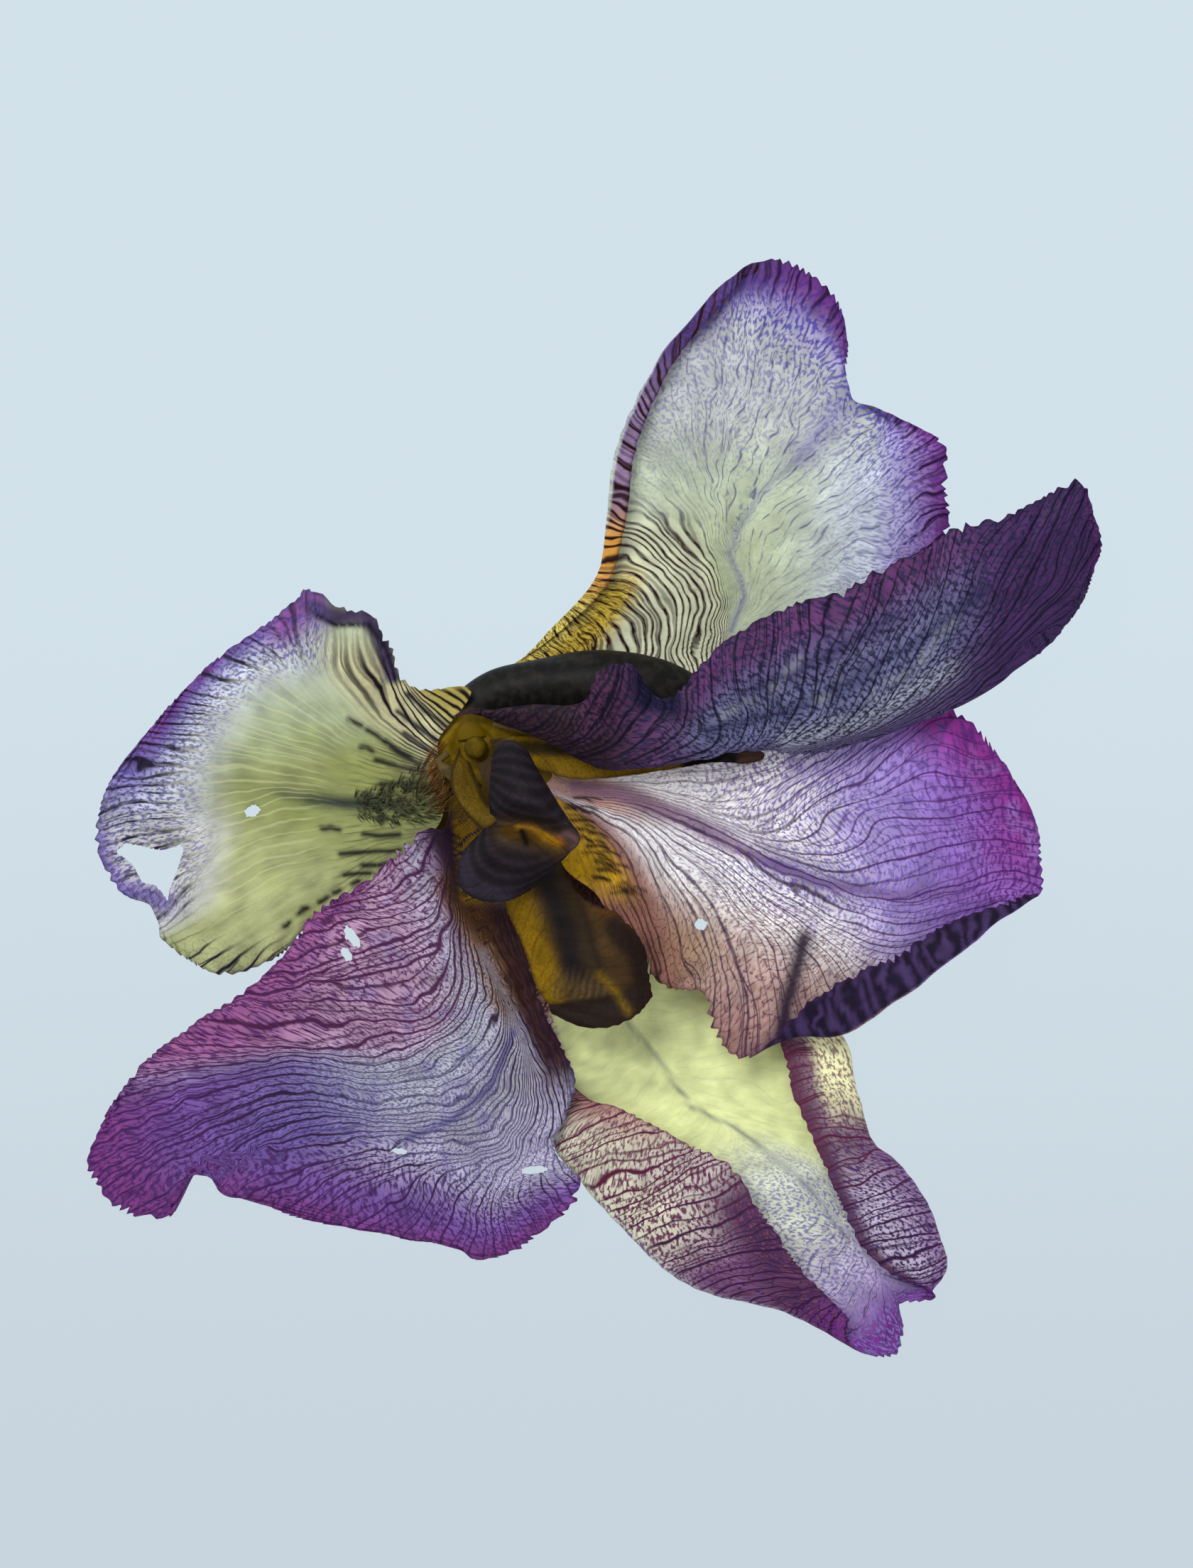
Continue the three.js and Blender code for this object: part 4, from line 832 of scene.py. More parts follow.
fallLower = {
    "seat": (petalSeat, 318, 284, 4), "seed": 31, "drift": 0.35, "teeth": 1.0, "ruffle": 0.2, "pleat": 0.06,
    "crumple": 0.1,
    "spine": [4] * 12,
    "pulls": [(-4, -43.5, -1.8, 0.2, 4.5)],
    "ribs": [
        [-7.6, -2, 4.4, -8, -2.8, 3.8, -8.6, -3.6, 3.4, -9.4, -4.2, 3.1, -10.4, -4.8, 3,
         -11.4, -5.2, 3.1, -12.2, -5.4, 3.4, -12.9, -5.6, 3.8, -13.4, -5.8, 4.2],
        [6, -12.4, 2.4, 3.6, -13.4, 1.9, 1.2, -14.4, 1.5, -1, -15.4, 1.2, -3.4, -16.4, 1,
         -5.6, -17.4, 1.2, -7.6, -18.4, 1.5, -9, -19.2, 2, -10.2, -20, 2.6],
        [17, -22.4, 2.6, 15.4, -22.8, 1.8, 12.6, -23.4, 1.2, 8.4, -24.6, .7, 2.6, -26.4, .5,
         -2, -28.4, .7, -5.4, -30.4, 1.2, -7, -31.6, 1.8, -8, -32.6, 2.4],
        [25.2, -30.4, 3.6, 29.4, -29.4, 3, 32.6, -29.8, 1.6, 24, -32, .5, 10, -36.4, .36,
         2.4, -38, .7, -2.4, -39.6, 1.8, -2.2, -40, 2.8, -.8, -40.4, 3.6],
        [28.2, -40.6, 4.4, 33, -39.4, 4.2, 36.8, -40, 2, 28, -42.4, .5, 15, -41.6, .36,
         4, -45.6, .6, -4.4, -47.6, 2, -1.4, -45.4, 4.4, 3.4, -42, 5],
        [31, -47.4, 5, 35, -46.4, 4.6, 39, -46.8, 2, 31, -47.6, .5, 21, -45.8, .36,
         9, -51, .6, -1.4, -52.8, 2, 5, -50, 5, 12.4, -46.4, 5.8],
        [33.4, -52.6, 5, 38, -51.6, 4.6, 42.8, -50, 2, 35, -52, .5, 26, -49.4, .36,
         14, -56.4, .6, 3.4, -58.2, 2, 11, -54.4, 5.2, 19, -50, 6],
        [35.6, -57.6, 4.8, 41, -56.6, 4.4, 46.8, -55.6, 2, 39, -56.8, .5, 30.6, -54, .36,
         20, -61, .6, 9.4, -64.2, 2, 17, -60.4, 5.2, 24.4, -57.6, 6],
        [38, -62, 4.4, 43, -61.4, 4, 48.6, -60.4, 1.8, 42, -61.4, .5, 35, -59, .36,
         26, -65, .6, 16, -68, 2, 22.4, -65, 5, 28.2, -63.6, 5.6],
        [42.5, -66, 3.4, 46, -65.6, 2.8, 49.4, -65, 1.6, 44.6, -65.6, .6, 39.4, -64.6, .5,
         33, -69, .8, 27, -70.8, 2, 29.6, -69, 4.2, 32.4, -68.2, 4.6],
        [47, -67.4, 2.2, 48, -68.8, 1.8, 45.6, -69.4, 1.4, 42.8, -70, 1, 43.6, -73.4, .9,
         42.2, -77, 1.2, 38, -76.6, 1.8, 35.6, -74.4, 2.8, 36, -72, 3.4],
    ],
    "flow": {"turn": 3.4, "power": 0.28, "spacing": 3.0},
    "look": {"width": 0.15, "opens": 1.2, "cells": 3.6, "cellLength": 0.8},
}


def paintFallLower(place):
    share, point = place["share"], place["point"]
    paint = Paint(place, "d6dda0", "561c38", "6e4058")
    # the flaps folded over the trough
    left, right = ease(point, 5.8, 6.4), ease(point, 2.3, 1.7)
    flap = np.maximum(left, right)
    paint.ground("ced4be", ease(share, 0.5, 0.7))
    paint.ground("4a2e12", ease(share, 0.22, 0.16))
    paint.ground("cfcab4", left * ease(share, 0.2, 0.26))
    paint.ground("a4655c", 0.75 * left * ease(place["high"], 6, 1) * ease(share, 0.62, 0.4))
    paint.ground("bab0ac", left * ease(place["high"], 14, 4) * ease(share, 0.5, 0.6))
    paint.ground("74507c", left * ease(share, 0.66, 0.8))
    paint.ground("4a2c52", left * ease(share, 0.62, 0.7) * ease(place["high"], 9, 3))
    paint.ground("7a6672", right * ease(share, 0.2, 0.26))
    paint.ground("b8abc2", right * ease(share, 0.55, 0.7))
    paint.ground("7c4488", 0.7 * right * ease(point, 0.9, 1.9) * ease(share, 0.48, 0.62))
    paint.ground("58384a", right * ease(place["low"], 3, 0.8))
    pale = right * ease(point, 0.5, 1.0) * ease(share, 0.54, 0.44)
    paint.ground("ece8b6", pale)
    paint.ground("4a2e12", ease(point, 2.6, 2.0) * ease(share, 0.36, 0.29))
    paint.ground("bab0c8", (1 - flap) * ease(share, 0.76, 0.92))
    paint.ground("6e2c84", ease(place["tip"], 11, 2))
    paint.spot("5c3c8c", (1 - flap) * ease(share, 0.74, 0.9))
    paint.vein("3c2a5a", 1 - flap)
    paint.vein("33143c", flap * ease(share, 0.55, 0.75))
    paint.spot("4c3a66", right * ease(share, 0.4, 0.6))
    paint.spot("7a70ac", 1 - flap)
    middle = [(4.7, -30), (8.2, -34.3), (13.8, -42), (20.1, -45.1), (25.2, -49.1), (30.4, -53.8),
              (35.9, -60.9)]
    paint.ground("7c8078", 0.75 * paint.stroke(middle, 0.3) * (1 - flap))
    paint.lines = (0.08 + 0.92 * flap + 0.7 * ease(share, 0.72, 0.88)) * (1 - 0.8 * pale)
    paint.net = (0.7 * flap + 0.3 * ease(share, 0.7, 0.85)) * (1 - pale)
    paint.spots = 0.8 * flap + 0.85 * ease(share, 0.5, 0.75)
    paint.breaks = np.maximum(0.6 * (1 - flap), 0.8 * pale)
    paint.bold = 1 + 0.45 * flap
    return paint


makePetal("petal_fall_lower", fallLower, paintFallLower, "fall_petal", "fall_lower")


# Flopped standard

standardOver = {
    "seat": (petalSeat, 125, 78, 9.9), "seed": 41, "teeth": 1.7, "ruffle": 0.4, "pleat": 0.2, "crumple": 0.22,
    "ribs": [
        [-9.3, 14.4, 13.6, -9.1, 13.3, 13.9, -8.9, 11.8, 13.4, -8.5, 10.3, 12.2,
         -8.7, 11.1, 11, -8.9, 12.3, 10.6, -9.1, 13.5, 10.6],
        [-1.8, 14.8, 15.4, -1.2, 12.4, 15.6, -0.2, 8.9, 14.2, 1.6, 5.6, 11.8,
         1.4, 7.5, 10.2, 0.6, 9.9, 10.4, -0.4, 12.1, 11.6],
        [2.6, 20.1, 18.2, 4.1, 15.4, 17.2, 5.7, 10.5, 14.8, 8.1, 5.9, 11.6,
         7.7, 8.3, 9.9, 7.1, 11.1, 10.5, 6.1, 13.7, 12.2],
        [10.3, 16, 15.2, 11.2, 13.4, 15.9, 12.5, 10.3, 14, 14.3, 6.9, 11.2,
         14.1, 9.1, 9.5, 13.5, 11.9, 10.3, 12.7, 14.7, 12.4],
        [17.2, 22.7, 16.2, 18.3, 18.3, 16.6, 20, 13.4, 14.4, 21.8, 8.3, 11,
         21.7, 10.7, 9.4, 20.9, 14.3, 9.8, 20, 17.5, 10.8],
        [27.2, 28.2, 15.8, 28.6, 22.3, 16.4, 29.9, 15.4, 14, 31.4, 8.1, 10.2,
         31.4, 11.1, 8.5, 30.6, 15.9, 8.8, 29.8, 20.3, 9.4],
        [38.1, 32.4, 15, 39.3, 26.1, 15.8, 40.6, 18.8, 13.4, 41.9, 11.1, 9.8,
         42, 14.3, 8.1, 41.4, 19.3, 8.4, 40.8, 23.9, 8.8],
        [49, 38.4, 14.4, 50, 31.2, 15, 51.1, 23.2, 12.8, 52.1, 14.9, 9.4,
         52.2, 18.1, 7.7, 51.6, 23.9, 8, 50.9, 29.3, 8.4],
        [59.4, 41.6, 13.2, 59.9, 35.2, 13.8, 60.5, 27.8, 11.8, 60.9, 20.7, 8.8,
         61, 23.7, 7.1, 60.6, 29.5, 7.4, 60.1, 34.5, 7.8],
        [66.6, 45.8, 12.2, 67.4, 40.2, 12.6, 67.3, 33.3, 10.8, 66.7, 26.5, 8.2,
         66.8, 29.3, 6.6, 67, 34.3, 7, 66.9, 38.5, 7.4],
        [68.8, 43.5, 11.8, 70.8, 38.1, 11.8, 70.7, 35.1, 10.4, 69.7, 32.4, 8.2,
         69.8, 33.7, 7, 69.8, 36.3, 7.4, 69.8, 38.4, 7.8],
    ],
    "veins": [
        [-15.3, 12.2, -14.1, 12.8, -12.9, 13.4, -11.7, 13.9, -10.6, 14.2],
        [-14.1, 11, -11.1, 11, -8.2, 11.6, -5.9, 13.1, -3.5, 14.5],
        [-11.7, 9.8, -6.5, 9.2, -2.3, 10.4, 0, 13.9, 1.8, 18],
        [-8.8, 9, -2.3, 7.5, 1.8, 9.2, 4.1, 13.9, 5, 19.8],
        [-5.9, 7.8, 1.8, 5.7, 7.6, 8.7, 10.6, 12.2, 11.7, 15.1],
        [-2.9, 6.9, 5.9, 5.4, 14.1, 9.2, 15.8, 13.9, 17, 22.2],
        [0, 6.3, 10, 5.7, 18.8, 9.2, 22.3, 16.3, 22.9, 25.4],
        [2.9, 5.7, 14.1, 6.3, 22.9, 9.2, 27.6, 17.5, 29.3, 29.2],
        [5.9, 5.4, 17.6, 7.2, 27.6, 9.8, 32.9, 18.6, 37, 31.5],
        [8.8, 5.7, 21.1, 7.8, 32.3, 10.4, 38.7, 20.4, 45.2, 35.1],
        [11.7, 6, 24.6, 8.1, 36.4, 11, 44.6, 22.2, 52.2, 39.8],
        [14.7, 6.3, 28.2, 8.4, 40.5, 12.2, 50.5, 23.9, 58.7, 41.5],
        [17.6, 6.9, 31.7, 8.7, 44, 13.4, 56.3, 26.3, 64.5, 44.5],
        [20.5, 7.5, 35.2, 9.2, 47.5, 15.1, 61, 29.2, 67.5, 45.9],
        [23.5, 8.1, 38.7, 10.1, 51, 16.9, 64.5, 31, 69.8, 43.3],
        [27, 8.4, 42.3, 11.3, 54.6, 18.9, 66.9, 31.5, 71.3, 38],
        [31.1, 8.7, 46.4, 12.8, 58.1, 21.6, 66.9, 28.6, 70.4, 34.5],
        [35.2, 9.2, 49.9, 14.5, 60.4, 23.3, 65.7, 26.3, 66.3, 27.4],
    ],
    "counts": range(0, 36, 2),
    "pulls": [(69.5, 45, 0.8, 0.6, 2.5), (63, 46.5, 0.2, -0.8, 3), (5.2, 18.4, 0.3, 1.6, 1.6),
              (0.2, 17.6, -0.3, 1.4, 1.6)],
    "density": 0.6,
    "lifts": [(1.5, 16.5, 3.4, 1.6), (8.8, 15.6, 2.6, -2.4)],
    "look": {"opens": 1.1, "cells": 3.6, "cellLength": 0.7},
}


def paintStandardOver(place):
    x, y, low = place["x"], place["y"], place["low"]
    # the dark violet ground: the petal's own colour darkened by painted shade, as it stands up off the lit
    # floor with other petals behind it
    paint = Paint(place, "5e4a76", "0d0a1e", "2c284a")
    # the blue-grey belly is its own colour with painted sheen on it; the pale stroke along the keel below is
    # a painted highlight
    paint.ground("6c6e92", paint.stroke([(12, 10), (26, 13), (40, 18), (54, 28)], 5.5) * ease(x, 6, 16))
    paint.ground("a2a6b2", 0.7 * paint.stroke([(27, 9.5), (38, 12.5), (50, 19.5)], 1.6))
    paint.ground("5e3060", 0.85 * ease(low, 7, 3) * ease(x, 62, 46) * ease(x, 8, 14))
    paint.ground("47295a", ease(x, 46, 58))
    paint.ground("56265f", ease(place["tip"], 6, 1))
    paint.ground("5a3458", 0.8 * ease(x, 18, 8))
    paint.ground("4c2a48", paint.near(1.5, 15.5, 5))
    paint.ground("36232a", np.maximum(ease(x, 1, -4), ease(x, 8, 0) * ease(y - 0.5 * x, 12, 9)))
    paint.spot("24161f", ease(x, 8, 0))
    paint.ground("12112c", 0.97 * paint.stroke([(7.0, 19.4), (7.4, 15.5), (10.6, 14.4)], 2.2, 4))
    # painted shade in dark creases along the length, and painted highlights on the pale fold ridges between
    # them
    creaseShadeStreaks = [[(16, 11), (27, 13.6), (38, 18)], [(33, 17), (45, 23), (55, 31)],
                   [(22, 16.5), (31, 20.5), (42, 27)]]
    ridgeHighlightStreaks = [[(18, 13), (24, 16), (29, 21)], [(27, 12.5), (33, 16), (38, 21.5)],
                   [(38, 15.5), (45, 20), (50, 26)]]
    broken = ease(softNoise(x, y, 1.4, 71), -0.6, 0.3)
    for streak in creaseShadeStreaks:
        paint.ground("2e2c54", 0.6 * paint.stroke(streak, 0.8))
    for streak in ridgeHighlightStreaks:
        paint.groundAndSpot("9496a0", 0.55 * paint.stroke(streak, 0.7) * broken)
    paint.lines = 0.95
    paint.net = 0.6
    paint.spots = 0.9
    paint.breaks = 0.2
    paint.bold = 1.1 + 0.6 * ease(x, 20, 0)
    return paint


makePetal("petal_standard_over", standardOver, paintStandardOver, "standard_petal", "standard_over")


# Right standard

standardRight = {
    "seat": (petalSeat, 14, -36, 6.4), "seed": 51, "teeth": 2.2, "ruffle": 0.3, "pleat": 0.1, "crumple": 0.16,
    "ribs": [
        [-5.5, 9.2, 6.4, -5, 7.4, 5.9, -4.8, 5.2, 5.6, -4.8, 3, 5.6,
         -4.6, 0, 6, -4.2, -3.6, 6.8, -3.4, -8, 8.2],
        [4, 9.4, 5.8, 4, 7, 5.3, 4, 4, 5, 3.6, 1, 5, 3.4, -3.6, 5.5, 3.6, -8.8, 6.6, 4, -14.6, 8.2],
        [13, 8.6, 5.4, 12.6, 5.8, 5, 12, 2.4, 4.8, 10.8, -1.6, 4.8,
         9.4, -7.4, 5.3, 8, -14, 6.4, 7.2, -21, 7.8],
        [23, 8.8, 5, 22.6, 5.4, 4.8, 21.4, .6, 4.8, 19.4, -5.4, 5,
         16.4, -12.4, 5.6, 13, -19, 6.6, 9.4, -24.6, 7.4],
        [33, 14.4, 5, 31.6, 8, 5, 30, 0, 5.2, 28.4, -8.6, 5.4, 24.4, -17, 6.2, 19.6, -23, 6.8, 15.6, -26, 7],
        [42, 17, 5, 40.6, 8.4, 5.2, 39, -2, 5.5, 36.6, -11, 5.7,
         30, -20, 6.6, 23.4, -26.4, 6.8, 16.8, -30.6, 6.6],
        [47.6, 16.4, 4.8, 46.4, 7.4, 5.2, 44.6, -3, 5.6, 41.6, -12.2, 5.8,
         35, -22, 6.4, 28.4, -29.6, 6.6, 22, -35, 6.4],
        [51.6, 12.8, 4.4, 51, 4.8, 5.2, 49.4, -5, 5.6, 47, -13, 5.8,
         40.6, -22, 5.6, 34.4, -31.8, 7, 31.6, -26, 9.8],
        [54.6, 10, 4.2, 55.4, 2, 5, 54.6, -6.4, 5.4, 52, -13, 5.6,
         47.6, -19.4, 5.6, 45, -25, 7.2, 42.4, -20.4, 10],
        [57.6, 6.4, 4, 59.6, .6, 4.8, 59.4, -6.6, 5.2, 57.4, -12, 5.4,
         54.6, -15, 5.6, 54, -18, 7.4, 51, -15.6, 9.6],
        [60.2, 2, 4.2, 62.4, -2.6, 4.8, 63, -7, 5.2, 62.4, -9.8, 5.4,
         61.6, -11.4, 5.8, 61.2, -12.4, 7, 59.6, -12.2, 8.2],
    ],
    "veins": [
        [-5.6, 3.6, 3.3, 4.1, 9.1, 4.4, 13.6, 6, 18.5, 8.4],
        [-5.6, 3.4, 5.6, 3.5, 13.6, 3.3, 21.2, 5.1, 28.3, 8.2],
        [-5.6, 3.3, 6.5, 3.1, 16.7, 1.5, 26.5, 4.2, 34.6, 9.1],
        [-5.6, 3.2, 7.3, 2.6, 19.4, -0.3, 30.1, 3.7, 43.5, 11.8],
        [-5.6, 3.1, 8.7, 2, 23, -2.1, 34.6, 2.4, 51.1, 14.5],
        [-5.6, 3, 9.6, 1.3, 25.7, -3.8, 37.3, 1.5, 57.3, 6.9],
        [-5.6, 3, 10.5, 0.6, 28.3, -5.2, 41.3, -1.2, 60.5, 1.5],
        [-5.6, 2.9, 11.4, 0, 30.1, -7, 44.9, -4.3, 62, -3.4],
        [-5.6, 2.9, 12.3, -0.6, 31.5, -8.8, 46.6, -8.3, 62.3, -7.4],
        [-5.6, 2.8, 12.3, -1.2, 31, -10.1, 45.8, -11.9, 61.4, -11.4],
        [-5.6, 2.8, 11.4, -1.6, 28.3, -10.5, 41.7, -15, 53.8, -15.5],
        [-5.6, 2.7, 10.5, -2.1, 25.2, -10.5, 36.8, -17.2, 45.8, -19],
        [-5.6, 2.6, 9.1, -2.3, 22.1, -10.5, 31.9, -18.1, 40.4, -23],
        [-5.6, 2.5, 7.8, -2.5, 19.4, -11, 27.4, -19, 33.7, -25.3],
        [-5.6, 2.4, 6.5, -2.5, 16.3, -11, 23.4, -19.9, 28.3, -32.4],
        [-5.6, 2.3, 5.1, -2.3, 13.6, -11, 19.4, -20.8, 22.1, -34.2],
        [-5.6, 2.1, 3.8, -2.1, 11.4, -11, 15.8, -19.9, 17.2, -30.6],
        [-5.4, 2, 2.9, -2.5, 9.1, -11.4, 12.3, -19, 13.1, -25.7],
        [-5.2, 1.6, 1.5, -3, 7.3, -11.9, 9.6, -19, 10.9, -25.3],
        [-4.7, 1.1, 0.2, -3.4, 4.7, -12.8, 7.3, -19.5, 9.1, -23.9],
        [-4.3, 0.2, -1.1, -4.3, 2, -12.8, 4.7, -18.1, 6.9, -22.1],
        [-3.4, -1.2, -2.5, -5.2, -0.7, -11, 1.5, -15.5, 3.8, -19.5],
    ],
    "counts": [1.5 * n for n in range(19)] + [29, 31.5, 35],
    "lifts": [(30, -28, 5, 0.6)],
    "pulls": [(3.6, -14.4, -1.6, -0.5, 3.2), (-1.5, -7, -1.2, -0.4, 3.0), (61.4, -12, 1.5, 0.3, 2.8)],
    "density": 0.62,
    "holes": [oval(15.0, -16.3, 0.9, 0.75, 10)],
    "look": {"width": 0.16, "opens": 1.2, "cells": 3.6, "cellLength": 0.7},
}


def paintStandardRight(place):
    x, y, share, vein, way = place["x"], place["y"], place["share"], place["vein"], place["way"]
    paint = Paint(place, "e2dfdd", "35183f", "7a66b0")
    paint.ground("b0a4d0", ease(x + 0.3 * y, 25, 40) * ease(vein, 18, 13))
    paint.ground("9066ba", ease(x + 0.2 * y, 32, 52))
    paint.ground("8a3088", ease(place["tip"], 23, 5) * ease(y, -16, -2))
    paint.ground("8a3088", ease(place["low"], 12, 3) * ease(x, 40, 48))
    paint.ground("8c78b8", 0.45 * ease(softNoise(x, y, 2.8, 92), 0.1, 0.9) * ease(x, 14, 30))
    paint.ground("b59c94", ease(y + 0.4 * (x - 15), -10, -20))
    paint.ground("9c7870", ease(y, -20, -34) * ease(x, 34, 20))
    paint.ground("ad9470", paint.near(10, -20, 5, 1.5, 0))
    paint.ground("8a5f52", ease(vein, 15.5, 18.5))
    paint.ground("c89c14", ease(vein, 18.0, 19.2) * ease(y, -15, -9))
    paint.spot("84504c", ease(y + 0.4 * (x - 15), -6, -14))
    paint.ground("b88f7c", ease(way, 0.3, 0.1) * ease(vein, 17, 12))
    midrib = [(-3, 3), (3.3, 2.2), (12.3, -1.2), (22.1, -6.5), (32, -10.6), (41, -12), (55, -12.6)]
    away, _, _ = lineDistance(x, y, midrib)
    broad = 0.8 + 0.6 * ease(x, 24, 18) * ease(x, -4, 6)
    paint.ground("7b566f", 0.8 * np.exp(-(away / broad) ** 4) * ease(x, 60, 30))
    paint.ground("55407f", 0.6 * np.exp(-(away / 2.4) ** 2) * ease(x, 21, 26) * ease(x, 60, 30))
    # the painted shadow of the lower fall's flap beneath, the rolled lower rim with painted shade between its
    # ridges, and the bars by the throat
    shadow = [(29.6, -18.2), (28.4, -22.5), (26.9, -28), (26.2, -34)]
    # a painted shadow, cast by the lower fall's flap lying under this petal
    paint.groundAndSpot("1a1222", 0.95 * paint.stroke(shadow, 1.3))
    roll = ease(place["point"], 4.95, 5.15) * ease(share, 0.6, 0.68)
    wander = 3 * softNoise(x, y, 3.4, 7) + 2 * softNoise(x, y, 1.5, 8)
    # dark bands of painted shade between the roll's ridges, the lighter bands standing for its lit ridges
    ridgeShadeWave = 0.5 + 0.5 * np.sin((0.95 * x + 0.3 * y) * 2.9 + wander)
    paint.ground("46345f", roll)
    paint.ground("140e1e", 0.92 * roll * ease(ridgeShadeWave + 0.3 * softNoise(x, y, 0.9, 9), 0.0, 0.9))
    paint.spot("5c2876", np.maximum(ease(place["tip"], 12, 2), ease(x + 0.2 * y, 42, 56)))
    paint.vein("2c1218", ease(vein, 15, 18))
    paint.vein("4a1c62", 0.7 * ease(x + 0.3 * y, 26, 40) * (1 - roll))
    draw = np.random.default_rng(9)
    throatEdge = [(-4.6, 1.6), (-2.9, -2), (-1.4, -5.4), (0.4, -8.8), (2.6, -12)]
    for startX, startY in curveAt(throatEdge, np.linspace(0, 4, 34)):
        startX, startY = startX + draw.uniform(-1.4, 2.2), startY + draw.uniform(-0.3, 0.3)
        long, dip = draw.uniform(1.2, 3.6), draw.uniform(0.1, 0.8)
        bar = [(startX, startY), (startX + long * 0.6, startY + 0.2 - dip * 0.3),
               (startX + long, startY - dip)]
        paint.groundAndSpot("1a0e0a", 0.95 * paint.stroke(bar, draw.uniform(0.14, 0.22)))
    stripes = ease(vein, 17.5, 19.5)
    upper = ease(vein, 9, 7) * ease(x, 34, 20)
    paint.vein("5c4a54", upper)
    paint.lines = (0.86 - 0.6 * stripes * ease(y, -15, -11) - 0.25 * upper) * (1 - 0.7 * roll)
    paint.net = (0.5 + 0.2 * ease(y, -10, -20) + 0.2 * upper) * (1 - roll)
    paint.spots = (0.65 * ease(x, 6, 26) * (1 - stripes) * (1 - 0.5 * ease(y, -12, -18)) + 0.2) * (1 - roll)
    paint.breaks = 0.3 * ease(x, 30, 10) * (1 - stripes)
    paint.bold = 1.35 + 0.6 * stripes - 0.25 * ease(x, 26, 40) + 0.2 * softNoise(x, y, 4, 94)
    return paint


makePetal("petal_standard_right", standardRight, paintStandardRight, "standard_petal", "standard_right")


# Lower left standard

